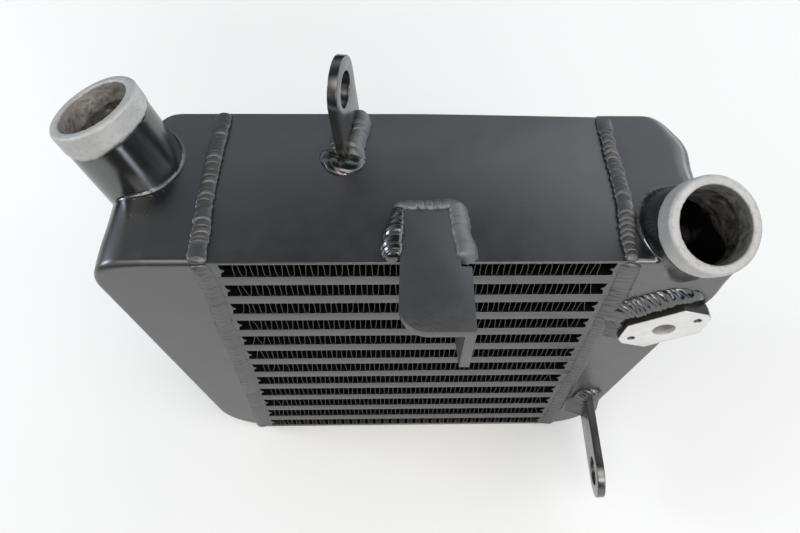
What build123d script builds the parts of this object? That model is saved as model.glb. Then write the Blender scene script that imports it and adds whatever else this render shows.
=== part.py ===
"""Bar-and-plate air-to-air intercooler with two cast end tanks.

Millimetres, +Z up.  X runs across the core from one end tank to the other,
cooling air passes through the core along Y, and -Y is the front.  The part
stands on the weld rings round the underside of its core.
"""

import os
from math import cos, radians, sin

from build123d import *

# ---------------------------------------------------------------- dimensions
# core
core_width = 212.0        # between the two end-tank joints
core_depth = 100.0        # along the cooling-air path
fin_rows = 12             # cooling-air rows, one more than the charge-air rows
fin_height = 11.4
passage_height = 7.1      # height of a charge-air passage, and of its bars
sheet_thickness = 0.5
side_plate_thickness = 1.8
row_pitch = fin_height + passage_height + 2 * sheet_thickness
core_height = fin_rows * fin_height + (fin_rows - 1) * (passage_height + 2 * sheet_thickness) + 2 * side_plate_thickness
long_bar_depth = 8.0
end_bar_width = 6.0
end_bar_nose = 2.8        # V-shaped nose on the inner side of an end bar

# fins
fin_gauge = 0.3
fin_wave = 6.0
fin_crest = 2.3
turbulator_gauge = 0.3
turbulator_wave = 6.0
turbulator_crest = 2.2

# welds
weld_crown = 2.0          # height of the tank seam welds over the core skin
weld_width = 8.0

# cast end tanks
tank_wall = 4.0
tank_top_reach = 166.6    # outer wall, extended to the top plane
tank_bottom_reach = 130.0 # outer wall, extended to the bottom plane
tank_top_radius = 14.0
tank_bottom_radius = 27.0
tank_front_radius = 5.0
tank_back_radius = 25.0
tank_edge_radius = 4.0

# hose spigots
spigot_bore_radius = 19.8
spigot_outer_radius = 24.3
spigot_bead_radius = 25.0
spigot_bead_length = 15.0

# sheet-metal brackets
bracket_thickness = 5.2
lug_radius = 17.4
lug_hole_radius = 9.5

# sensor flange
flange_length = 51.0
flange_width = 31.0
flange_thickness = 7.5
flange_chamfer_along = 9.6
flange_chamfer_across = 12.4
flange_angle = 33.2
flange_bore_radius = 6.4
flange_screw_spacing = 37.6
flange_screw_radius = 2.1
flange_screw_depth = 6.5

# position of the core's centre line in the part's frame
origin_x = -8.71
origin_y = -32.3

z_bottom = weld_crown                 # underside of the core
z_top = z_bottom + core_height        # top of the core
x_joint = core_width / 2
y_face = core_depth / 2


def prism_xz(points, y0, y1):
    """Closed outline in the XZ plane, pushed from y0 to y1."""
    outline = [Vector(x, y0, z) for x, z in points]
    face = Face(Wire.make_polygon(outline, close=True))
    return Solid.extrude(face, Vector(0, y1 - y0, 0))


def prism_yz(points, x0, x1):
    """Closed outline in the YZ plane, pushed from x0 to x1."""
    outline = [Vector(x0, y, z) for y, z in points]
    face = Face(Wire.make_polygon(outline, close=True))
    return Solid.extrude(face, Vector(x1 - x0, 0, 0))


def block(x0, x1, y0, y1, z0, z1):
    return Solid.make_box(x1 - x0, y1 - y0, z1 - z0, Plane((x0, y0, z0)))


def corrugation(start, stop, low, high, wave, crest, gauge):
    """Outline of a folded strip that runs from start to stop between two sheets."""
    half = gauge / 2
    z_low, z_high = low + half, high - half
    leg = (wave - 2 * crest) / 2
    waves = int((stop - start) // wave)
    first = (start + stop) / 2 - waves * wave / 2
    line = [(first, z_low)]
    for i in range(waves):
        s = first + i * wave
        line += [
            (s + crest / 2, z_low),
            (s + crest / 2 + leg, z_high),
            (s + crest * 1.5 + leg, z_high),
            (s + crest * 1.5 + 2 * leg, z_low),
        ]
    line.append((first + waves * wave, z_low))
    length = (leg**2 + (z_high - z_low) ** 2) ** 0.5
    shift = half * (length - leg) / (z_high - z_low)
    upper, lower = [], []
    last = len(line) - 1
    for i, (s, z) in enumerate(line):
        if i in (0, last):
            upper.append((s, z + half))
            lower.append((s, z - half))
            continue
        # a corner's two offset points lie along the fold line, one to each side
        rising = line[i + 1][1] > z or line[i - 1][1] < z
        side = -1 if rising else 1
        upper.append((s + side * shift, z + half))
        lower.append((s - side * shift, z - half))
    return upper + lower[::-1]


def row_base(i):
    """Underside of cooling-air row i, counted from the bottom."""
    return z_bottom + side_plate_thickness + i * row_pitch


parts = {}

# --------------------------------------------------------------- core plates
parts["bottom_side_plate"] = [block(-x_joint, x_joint, -y_face, y_face, z_bottom, z_bottom + side_plate_thickness)]
parts["top_side_plate"] = [block(-x_joint, x_joint, -y_face, y_face, z_top - side_plate_thickness, z_top)]

sheets, front_bars, rear_bars, left_ends, right_ends = [], [], [], [], []
for i in range(fin_rows):
    base = row_base(i)
    top = base + fin_height
    middle = (base + top) / 2
    inner = x_joint - end_bar_width
    nose = inner - end_bar_nose
    outline = [(-x_joint, base), (-inner, base), (-nose, middle), (-inner, top), (-x_joint, top)]
    left_ends.append(prism_xz(outline, -y_face, y_face))
    right_ends.append(prism_xz([(-x, z) for x, z in outline], -y_face, y_face))
    fin = corrugation(-nose + 0.4, nose - 0.4, base, top, fin_wave, fin_crest, fin_gauge)
    parts[f"ambient_fin_{i + 1:02d}"] = [prism_xz(fin, -y_face, y_face)]
    if i == fin_rows - 1:
        break
    sheets.append(block(-x_joint, x_joint, -y_face, y_face, top, top + sheet_thickness))
    low = top + sheet_thickness
    high = low + passage_height
    sheets.append(block(-x_joint, x_joint, -y_face, y_face, high, high + sheet_thickness))
    front_bars.append(block(-x_joint, x_joint, -y_face, -y_face + long_bar_depth, low, high))
    rear_bars.append(block(-x_joint, x_joint, y_face - long_bar_depth, y_face, low, high))
    inner_y = y_face - long_bar_depth
    wave = corrugation(-inner_y, inner_y, low, high, turbulator_wave, turbulator_crest, turbulator_gauge)
    parts[f"charge_turbulator_{i + 1:02d}"] = [prism_yz(wave, -x_joint, x_joint)]

parts["separator_sheets"] = sheets
parts["front_long_bars"] = front_bars
parts["rear_long_bars"] = rear_bars
parts["left_end_bars"] = left_ends
parts["right_end_bars"] = right_ends

core_block = block(-x_joint, x_joint, -y_face, y_face, z_bottom, z_top)


# ------------------------------------------------------------------ end tanks
def tank_body(inset, open_side):
    """Tapered shell of the right-hand tank, set in by inset on every wall."""
    top, bottom = z_top - inset, z_bottom + inset
    drop = (tank_top_reach - tank_bottom_reach) / core_height
    far_top = tank_top_reach - inset - inset * drop
    far_bottom = tank_bottom_reach - inset + inset * drop
    outline = [(open_side, bottom), (far_bottom, bottom), (far_top, top), (open_side, top)]
    shell = prism_xz(outline, -y_face + inset, y_face - inset)
    across = [e for e in shell.edges() if abs(e.length - 2 * (y_face - inset)) < 0.01 and e.center().X > open_side + 1]
    upper = [e for e in across if e.center().Z > (z_top + z_bottom) / 2]
    lower = [e for e in across if e.center().Z < (z_top + z_bottom) / 2]
    shell = shell.fillet(tank_top_radius - inset, upper)
    shell = shell.fillet(tank_bottom_radius - inset, lower)
    plan = prism_xz(
        [(open_side, bottom - 30), (far_bottom - 30 * drop, bottom - 30), (far_top + 30 * drop, top + 30), (open_side, top + 30)],
        -y_face + inset,
        y_face - inset,
    )
    walls = [e for e in plan.edges() if e.length > 2 * y_face and e.center().X > open_side + 1]
    back = [e for e in walls if e.center().Y > 0]
    plan = plan.fillet(tank_back_radius - inset, back)
    return shell & plan


def spigot(mouth, axis, radius, back):
    """Cylinder from the mouth, back along the axis."""
    direction = Vector(*axis).normalized()
    start = Vector(*mouth) - direction * back
    return Solid.make_cylinder(radius, back, Plane(origin=start, z_dir=direction))


def end_tank(mouth, axis, mirrored, extra):
    """Cast tank with its hose spigot: outer form, then the hollow taken out."""
    body = tank_body(0.0, x_joint)
    rim = [e for e in body.edges() if e.center().X > x_joint + 1 and abs(e.center().Y + y_face) < 0.01]
    body = body.fillet(tank_front_radius, rim)
    rim = [e for e in body.edges() if e.center().X > x_joint + 1 and e.center().Y > 0 and sharp_edge(body, e)]
    body = body.fillet(tank_edge_radius, rim)
    cavity = tank_body(tank_wall, x_joint - 5)
    if mirrored:
        body = body.mirror(Plane.YZ)
        cavity = cavity.mirror(Plane.YZ)
    barrel = spigot(mouth, axis, spigot_outer_radius, 78)
    band = spigot(mouth, axis, spigot_bead_radius, spigot_bead_length)
    rims = sorted((e for e in band.edges() if e.geom_type == GeomType.CIRCLE), key=lambda e: e.center().Z)
    band = band.fillet(1.6, [rims[-1]])
    shell = body + barrel
    crotch = [
        e
        for e in shell.edges()
        if abs(distance_to_axis(e @ 0.5, mouth, axis) - spigot_outer_radius) < 0.05
        and abs(distance_to_axis(e @ 0.2, mouth, axis) - spigot_outer_radius) < 0.05
        and (Vector(*mouth) - (e @ 0.5)).length > spigot_outer_radius + 3
        and outside(e @ 0.5, cavity)
    ]
    shell = as_solid(shell)
    if extra:
        shell = shell.fillet(extra, crotch)
    shell = as_solid(shell + band)
    bore = spigot(Vector(*mouth) + Vector(*axis).normalized() * 5, axis, spigot_bore_radius, 100)
    return shell, cavity, bore


def sharp_edge(solid, edge):
    """True where the two faces beside the edge meet at an angle."""
    spot = edge @ 0.5
    beside = [f for f in solid.faces() if f.distance_to(spot) < 1e-4]
    if len(beside) != 2:
        return False
    a, b = (f.normal_at(spot) for f in beside)
    return a.get_angle(b) > 4


def distance_to_axis(point, mouth, axis):
    direction = Vector(*axis).normalized()
    offset = point - Vector(*mouth)
    return (offset - direction * offset.dot(direction)).length


def outside(point, solid):
    return not solid.is_inside(point)


def as_solid(shape):
    found = shape.solids()
    if len(found) != 1:
        raise ValueError(f"{len(found)} solids where one was expected")
    return found[0]


left_mouth, left_axis = (-164.7, 23.0, z_top + 33.5), (-0.365, 0.166, 0.916)
right_mouth, right_axis = (143.5, -43.1, z_top + 22.2), (0.156, -0.453, 0.877)


left_shell, left_cavity, left_bore = end_tank(left_mouth, left_axis, True, 5.0)
right_shell, right_cavity, right_bore = end_tank(right_mouth, right_axis, False, 5.0)

# The sensor looks through the right tank's front wall.
flange_centre = Vector(140.9, -y_face - flange_thickness, z_top - 60.4)
flange_plane = Plane(
    origin=flange_centre,
    x_dir=(cos(radians(flange_angle)), 0, sin(radians(flange_angle))),
    z_dir=(0, -1, 0),
)
sensor_hole = Solid.make_cylinder(
    flange_bore_radius, flange_thickness + tank_wall + 4, Plane(origin=flange_centre, z_dir=(0, 1, 0))
)

left_tank = as_solid(left_shell - left_cavity - left_bore)
right_tank = as_solid(right_shell - right_cavity - right_bore - sensor_hole)
parts["left_tank"] = [left_tank]
parts["right_tank"] = [right_tank]


# ------------------------------------------------------------ sensor flange
along, across = flange_length / 2, flange_width / 2
octagon = Polyline(
    (-along + flange_chamfer_along, across),
    (along - flange_chamfer_along, across),
    (along, across - flange_chamfer_across),
    (along, -across + flange_chamfer_across),
    (along - flange_chamfer_along, -across),
    (-along + flange_chamfer_along, -across),
    (-along, -across + flange_chamfer_across),
    (-along, across - flange_chamfer_across),
    close=True,
)
pad = extrude(flange_plane * make_face(octagon), -flange_thickness)
pad = pad - sensor_hole
for side in (-1, 1):
    screw = flange_plane * Pos(side * flange_screw_spacing / 2, 0, -flange_screw_depth) * Cylinder(
        flange_screw_radius, flange_screw_depth, align=(Align.CENTER, Align.CENTER, Align.MIN)
    )
    pad = pad - screw
sensor_flange = as_solid(pad)
parts["sensor_flange"] = [sensor_flange]


# ------------------------------------------------------------------ brackets
def lug_plate(origin, along, normal, reach, below):
    """Flat plate with one round end and a hole in it.

    The plate's root line starts at origin and runs along; normal points out
    of its near face, and the plate lies behind that face.
    """
    plane = Plane(origin=origin, x_dir=along, z_dir=normal)
    strap = Pos(lug_radius, (reach - below) / 2) * Rectangle(2 * lug_radius, reach + below)
    outline = strap + Pos(lug_radius, reach) * Circle(lug_radius) - Pos(lug_radius, reach) * Circle(lug_hole_radius)
    return as_solid(extrude(plane * outline, -bracket_thickness))


# upright lug on top of the core
top_lug_origin = Vector(-37.0, 15.3, z_top)
top_lug_along = Vector(0.1994, 0.9799, 0)
top_lug_normal = Vector(0.97605, -0.19858, 0.08889)
top_lug_reach = 35.6
top_bracket = as_solid(
    lug_plate(top_lug_origin, top_lug_along, top_lug_normal, top_lug_reach, 6) - block(-90, 20, -40, 90, z_top - 20, z_top)
)
parts["top_bracket"] = [top_bracket]

# forward-pointing lug low on the right tank
low_lug_middle = Vector(124.7, -99.2, z_top - 187.8)
low_lug_normal = Vector(-0.991, 0, -0.131).normalized()
low_lug_across = Vector(0, -1, 0).cross(low_lug_normal).normalized()
low_lug_reach = -y_face - low_lug_middle.Y
low_lug_origin = Vector(low_lug_middle.X, -y_face, low_lug_middle.Z) - low_lug_across * lug_radius
low_lug = lug_plate(low_lug_origin, low_lug_across, low_lug_normal, low_lug_reach, 5)
if low_lug.bounding_box().min.Y > -y_face - low_lug_reach:
    raise ValueError("the lower lug points the wrong way")
lower_bracket = max((low_lug - right_shell).solids(), key=lambda p: p.volume)
parts["lower_bracket"] = [lower_bracket]

# angle bracket that overhangs the front of the core
z_plate = z_top + bracket_thickness
plate_outline = make_face(
    Polyline(
        (-8.2, -18.0),
        (-11.3, -91.3),
        (25.6, -91.3),
        (25.6, -55.5),
        (20.4, -55.5),
        (18.6, -18.0),
        close=True,
    )
)
plate = extrude(Plane.XY.offset(z_top) * plate_outline, bracket_thickness)
corner = [e for e in plate.edges() if abs(e.length - bracket_thickness) < 0.01 and e.center().X < 0 and e.center().Y < -80]
plate = plate.fillet(14.0, corner)
leg = prism_yz(
    [(-91.3, z_top), (-91.3, z_top - 34.6), (-55.5, z_top - 50.0), (-55.5, z_top)],
    25.6 - bracket_thickness,
    25.6,
)
low_corner = [e for e in leg.edges() if e.center().Y < -91.2 and e.center().Z < z_top - 34]
leg = leg.fillet(1.8, low_corner)
front_bracket = as_solid(plate + leg)
parts["front_bracket"] = [front_bracket]


# --------------------------------------------------------------------- welds
def seam_weld(side, shell):
    """Bead round the joint between the core and a tank."""
    x = side * x_joint
    half = weld_width / 2
    outer = block(x - half, x + half, -y_face - weld_crown, y_face + weld_crown, z_bottom - weld_crown, z_top + weld_crown)
    outer = outer.chamfer(1.4, None, [e for e in outer.edges() if abs(e.length - weld_width) > 0.01])
    inner = block(x - half - 1, x + half + 1, -y_face + 1.6, y_face - 1.6, z_bottom + 1.6, z_top - 1.6)
    return (outer - inner - core_block - shell).solids()


def swollen(points, spread):
    """Convex outline, counter-clockwise, pushed out by spread."""
    count = len(points)
    out = []
    for i in range(count):
        (ax, ay), (bx, by), (cx, cy) = points[i - 1], points[i], points[(i + 1) % count]
        l1 = ((bx - ax) ** 2 + (by - ay) ** 2) ** 0.5
        l2 = ((cx - bx) ** 2 + (cy - by) ** 2) ** 0.5
        n1 = ((by - ay) / l1, -(bx - ax) / l1)
        n2 = ((cy - by) / l2, -(cx - bx) / l2)
        k = spread / (1 + n1[0] * n2[0] + n1[1] * n2[1])
        out.append((bx + k * (n1[0] + n2[0]), by + k * (n1[1] + n2[1])))
    return out


def bead(points, plane, height, root, crest, under=0.0):
    """Tapered bead over a convex outline: root wide on the plane, crest wide
    at height, with a straight skirt under the plane."""
    def ring(spread, level):
        return Face(Wire.make_polygon([plane.from_local_coords(Vector(u, v, level)) for u, v in swollen(points, spread)], close=True))

    solid = Solid.make_loft([ring(root, 0).outer_wire(), ring(crest, height).outer_wire()], True)
    if under:
        solid = solid + Solid.extrude(ring(root, -under), plane.z_dir * under)
    return as_solid(solid) if under else solid


def pieces(shape, least=5.0):
    return [p for p in shape.solids() if p.volume > least]


parts["left_tank_weld"] = seam_weld(-1, left_shell)
parts["right_tank_weld"] = seam_weld(1, right_shell)

# round the foot of the upright lug
foot_plane = Plane(origin=top_lug_origin, x_dir=top_lug_along, z_dir=(0, 0, 1))
foot = [(0, 0), (2 * lug_radius, 0), (2 * lug_radius, bracket_thickness + 0.1), (0, bracket_thickness + 0.1)]
foot_bead = bead(foot, foot_plane, 6.5, 7.5, 1.6) - block(-90, 20, y_face - 0.4, 90, z_top - 1, z_top + 20)
parts["top_bracket_weld"] = pieces(foot_bead - top_bracket)

# round the root of the forward lug, on the tank's front wall
root_plane = Plane(origin=low_lug_origin, x_dir=low_lug_across, z_dir=(0, -1, 0))
root_side = root_plane.to_local_coords(low_lug_origin - low_lug_normal * bracket_thickness)
depth = root_side.Y
root = [(0, 0), (2 * lug_radius, 0), (2 * lug_radius, depth), (0, depth)]
if depth < 0:
    root = [(0, depth), (2 * lug_radius, depth), (2 * lug_radius, 0), (0, 0)]
parts["lower_bracket_weld"] = pieces(bead(root, root_plane, 5.5, 5.6, 1.4, 4.5) - lower_bracket - right_shell)

# along the three edges of the angle bracket that lie on the core
seat_front = -y_face + 1.0
seat = [(-9.55, seat_front), (20.1, seat_front), (18.6, -18.0), (-8.2, -18.0)]
collar = bead(seat, Plane.XY.offset(z_top), bracket_thickness + 1.4, 7.2, 1.0)
collar = collar - block(-60, 60, -90, seat_front, z_top - 1, z_top + 40)
core_of_seat = Solid.extrude(
    Face(Wire.make_polygon([Vector(x, y, z_top - 1) for x, y in swollen(seat, -2.6)], close=True)), Vector(0, 0, 40)
)
core_of_seat = core_of_seat + block(-6.0, 16.6, -70, -30, z_top - 1, z_top + 39)
parts["front_bracket_weld"] = pieces(collar - core_of_seat - front_bracket)

# round the sensor flange, wrapping over the tank's outer edge
octagon_points = [
    (-along + flange_chamfer_along, -across),
    (along - flange_chamfer_along, -across),
    (along, -across + flange_chamfer_across),
    (along, across - flange_chamfer_across),
    (along - flange_chamfer_along, across),
    (-along + flange_chamfer_along, across),
    (-along, across - flange_chamfer_across),
    (-along, -across + flange_chamfer_across),
]
pad_root = Plane(origin=flange_centre + Vector(0, flange_thickness, 0), x_dir=flange_plane.x_dir, z_dir=(0, -1, 0))
pad_bead = bead(octagon_points, pad_root, 3.2, 6.0, 1.0, 5.0)
pad_bead = pad_bead - extrude(flange_plane * make_face(octagon), -flange_thickness) - right_shell - right_bore - parts["right_tank_weld"][0]
parts["sensor_flange_weld"] = pieces(pad_bead - sensor_hole)


# -------------------------------------------------------------------- output
shift = Location((-origin_x, -origin_y, 0))
os.makedirs("parts", exist_ok=True)
for old in os.listdir("parts"):
    if old.endswith(".step") and old[:-5] not in parts:
        os.remove(os.path.join("parts", old))
for node, solids in parts.items():
    whole = solids[0] if len(solids) == 1 else Compound(children=solids)
    whole.label = node
    export_step(whole.moved(shift), f"parts/{node}.step")
box = Compound(children=[p.moved(shift) for solids in parts.values() for p in solids]).bounding_box()
print(len(parts), "nodes, box", box.min, box.max)
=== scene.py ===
import math
import random

import bmesh
import bpy
import numpy as np
from mathutils import Matrix, Vector


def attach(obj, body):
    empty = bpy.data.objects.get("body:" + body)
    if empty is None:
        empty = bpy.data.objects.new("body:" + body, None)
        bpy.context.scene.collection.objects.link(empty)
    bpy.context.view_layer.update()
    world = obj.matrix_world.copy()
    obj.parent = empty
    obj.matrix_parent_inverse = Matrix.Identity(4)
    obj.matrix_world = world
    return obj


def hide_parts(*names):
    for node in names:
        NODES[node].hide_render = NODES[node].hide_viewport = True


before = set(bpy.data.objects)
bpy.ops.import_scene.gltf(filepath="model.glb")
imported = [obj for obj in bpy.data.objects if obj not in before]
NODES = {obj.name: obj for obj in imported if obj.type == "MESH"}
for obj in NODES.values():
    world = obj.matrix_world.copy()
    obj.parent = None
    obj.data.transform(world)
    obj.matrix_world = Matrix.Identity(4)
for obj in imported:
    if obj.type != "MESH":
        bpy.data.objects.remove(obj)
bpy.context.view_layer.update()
scene = bpy.context.scene

# ------------------------------------------------------------------ frame
# Core coordinates (mm, centred on the core in plan) to the row frame (m).
ZT = 231.5
XJ = 106.0
YF = 50.0


def mm(x, y, z):
    return np.array([(x + 8.71) * 1e-3, (y + 32.3) * 1e-3, z * 1e-3])


def mm_all(points):
    p = np.asarray(points, float)
    return (p + np.array([8.71, 32.3, 0.0])) * 1e-3


def unit(v):
    v = np.asarray(v, float)
    return v / np.linalg.norm(v)


# --------------------------------------------------------------- materials
class Nodes:
    """Short hand for building a node tree."""

    def __init__(self, name):
        self.material = bpy.data.materials.new(name)
        self.material.use_nodes = True
        self.tree = self.material.node_tree
        self.tree.nodes.clear()
        self.out = self.tree.nodes.new("ShaderNodeOutputMaterial")
        self.bsdf = self.tree.nodes.new("ShaderNodeBsdfPrincipled")
        self.link(self.bsdf.outputs[0], self.out.inputs["Surface"])
        self.coord = self.tree.nodes.new("ShaderNodeTexCoord").outputs["Object"]

    def link(self, a, b):
        self.tree.links.new(a, b)

    def put(self, socket, value):
        if isinstance(value, bpy.types.NodeSocket):
            self.link(value, socket)
        else:
            socket.default_value = value

    def noise(self, scale, detail=3.0, rough=0.55, distortion=0.0, vector=None):
        n = self.tree.nodes.new("ShaderNodeTexNoise")
        n.inputs["Scale"].default_value = scale
        n.inputs["Detail"].default_value = detail
        n.inputs["Roughness"].default_value = rough
        n.inputs["Distortion"].default_value = distortion
        self.link(vector if vector is not None else self.coord, n.inputs["Vector"])
        return n.outputs["Fac"]

    def voronoi(self, scale, feature="F1", vector=None):
        n = self.tree.nodes.new("ShaderNodeTexVoronoi")
        n.feature = feature
        n.inputs["Scale"].default_value = scale
        self.link(vector if vector is not None else self.coord, n.inputs["Vector"])
        return n.outputs["Distance"]

    def ramp(self, fac, stops):
        n = self.tree.nodes.new("ShaderNodeValToRGB")
        e = n.color_ramp.elements
        while len(e) < len(stops):
            e.new(0.5)
        for el, (pos, col) in zip(e, stops):
            el.position = pos
            el.color = (*col, 1.0) if isinstance(col, (tuple, list)) else (col, col, col, 1.0)
        self.link(fac, n.inputs["Fac"])
        return n.outputs["Color"]

    def span(self, value, a, b, lo, hi):
        n = self.tree.nodes.new("ShaderNodeMapRange")
        n.clamp = True
        self.put(n.inputs["Value"], value)
        for key, v in (("From Min", a), ("From Max", b), ("To Min", lo), ("To Max", hi)):
            n.inputs[key].default_value = v
        return n.outputs["Result"]

    def math(self, op, a, b=0.0, c=None, clamp=False):
        n = self.tree.nodes.new("ShaderNodeMath")
        n.operation = op
        n.use_clamp = clamp
        self.put(n.inputs[0], a)
        self.put(n.inputs[1], b)
        if c is not None:
            self.put(n.inputs[2], c)
        return n.outputs[0]

    def mix(self, fac, a, b):
        n = self.tree.nodes.new("ShaderNodeMix")
        n.data_type = "RGBA"
        self.put(n.inputs["Factor"], fac)
        for socket, v in ((n.inputs[6], a), (n.inputs[7], b)):
            if isinstance(v, bpy.types.NodeSocket):
                self.link(v, socket)
            else:
                socket.default_value = (*v, 1.0)
        return n.outputs[2]

    def mapping(self, scale=(1, 1, 1), rotation=(0, 0, 0), location=(0, 0, 0), vector=None):
        n = self.tree.nodes.new("ShaderNodeMapping")
        n.inputs["Scale"].default_value = scale
        n.inputs["Rotation"].default_value = rotation
        n.inputs["Location"].default_value = location
        self.link(vector if vector is not None else self.coord, n.inputs["Vector"])
        return n.outputs["Vector"]

    def vmath(self, op, a, b=None):
        n = self.tree.nodes.new("ShaderNodeVectorMath")
        n.operation = op
        for socket, v in zip(n.inputs, (a, b)):
            if v is None:
                continue
            if isinstance(v, bpy.types.NodeSocket):
                self.link(v, socket)
            else:
                socket.default_value = v
        return n.outputs["Value"] if op in ("DOT_PRODUCT", "LENGTH", "DISTANCE") else n.outputs["Vector"]

    def bump(self, height, strength, distance, normal=None):
        n = self.tree.nodes.new("ShaderNodeBump")
        n.inputs["Strength"].default_value = strength
        n.inputs["Distance"].default_value = distance
        self.link(height, n.inputs["Height"])
        if normal is not None:
            self.link(normal, n.inputs["Normal"])
        return n.outputs["Normal"]

    def finish(self, color, rough, normal=None, metallic=0.0, specular=0.5, coat=0.0, coat_rough=0.1, ior=1.5):
        b = self.bsdf.inputs
        if isinstance(color, bpy.types.NodeSocket):
            self.link(color, b["Base Color"])
        else:
            b["Base Color"].default_value = (*color, 1.0)
        self.put(b["Roughness"], rough)
        self.put(b["Metallic"], metallic)
        b["Specular IOR Level"].default_value = specular
        b["IOR"].default_value = ior
        b["Coat Weight"].default_value = coat
        b["Coat Roughness"].default_value = coat_rough
        if normal is not None:
            self.link(normal, b["Normal"])
        return self.material


def paint(name, tone=1.0, rough=0.36, grain=0.10, wave=0.0, ior=2.08, dust=1.0, tint=(0.0, 0.0, 0.0)):
    """Black powder coat: fine pebble, slow changes of tone and gloss, a few
    specks of dust."""
    n = Nodes(name)
    fine = n.noise(1500.0, 4.0, 0.6)
    pebble = n.noise(620.0, 2.0, 0.5)
    slow = n.noise(16.0, 3.0, 0.6)
    mid = n.noise(90.0, 4.0, 0.6)
    dark = tuple(tone * c + t for c, t in zip((0.0066, 0.0067, 0.0070), tint))
    pale = tuple(tone * c + t for c, t in zip((0.0102, 0.0103, 0.0106), tint))
    body = n.mix(n.span(slow, 0.3, 0.7, 0.0, 1.0), dark, pale)
    body = n.mix(n.math("MULTIPLY", n.span(fine, 0.35, 0.75, 0.0, 1.0), 0.35), body, tuple(1.45 * c for c in pale))
    speck = n.voronoi(95.0)
    seed = n.noise(140.0, 1.0, 0.5)
    spots = n.math("MULTIPLY", n.span(speck, 0.020, 0.045, 1.0, 0.0), n.span(seed, 0.60, 0.66, 0.0, dust))
    body = n.mix(n.math("MULTIPLY", spots, 0.5), body, (0.30, 0.30, 0.29))
    r = n.math("ADD", n.span(mid, 0.25, 0.75, rough - 0.035, rough + 0.04), n.span(fine, 0.3, 0.7, -0.015, 0.02))
    normal = n.bump(n.math("ADD", n.math("MULTIPLY", fine, 0.5), pebble), grain, 0.00035)
    if wave:
        broad = n.noise(38.0, 2.0, 0.5)
        normal = n.bump(broad, wave, 0.004, normal)
    return n.finish(body, r, normal, ior=ior)


def glossy_paint(name, rough=0.16, tone=1.0):
    """Powder coat that has flowed smooth over weld metal, with warm bronze
    patches painted in as glints."""
    n = Nodes(name)
    fine = n.noise(900.0, 3.0, 0.5)
    slow = n.noise(70.0, 3.0, 0.6)
    body = n.mix(n.span(slow, 0.3, 0.7, 0.0, 1.0), (0.005 * tone, 0.005 * tone, 0.0052 * tone), (0.010 * tone, 0.0098 * tone, 0.0095 * tone))
    # painted glints: noise patches tinted warm bronze
    painted_glint_patch = n.span(n.noise(160.0, 2.0, 0.5), 0.60, 0.72, 0.0, 0.5)
    body = n.mix(painted_glint_patch, body, (0.050, 0.038, 0.022))
    r = n.span(slow, 0.25, 0.75, rough - 0.03, rough + 0.06)
    normal = n.bump(fine, 0.05, 0.0003)
    return n.finish(body, r, normal, ior=2.0)


def half_space(n, point, axis, shift=0.0):
    """Distance in metres past the plane through point across axis."""
    offset = n.vmath("SUBTRACT", n.coord, tuple(float(v) for v in point))
    return n.math("SUBTRACT", n.vmath("DOT_PRODUCT", offset, tuple(float(v) for v in axis)), shift)


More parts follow.
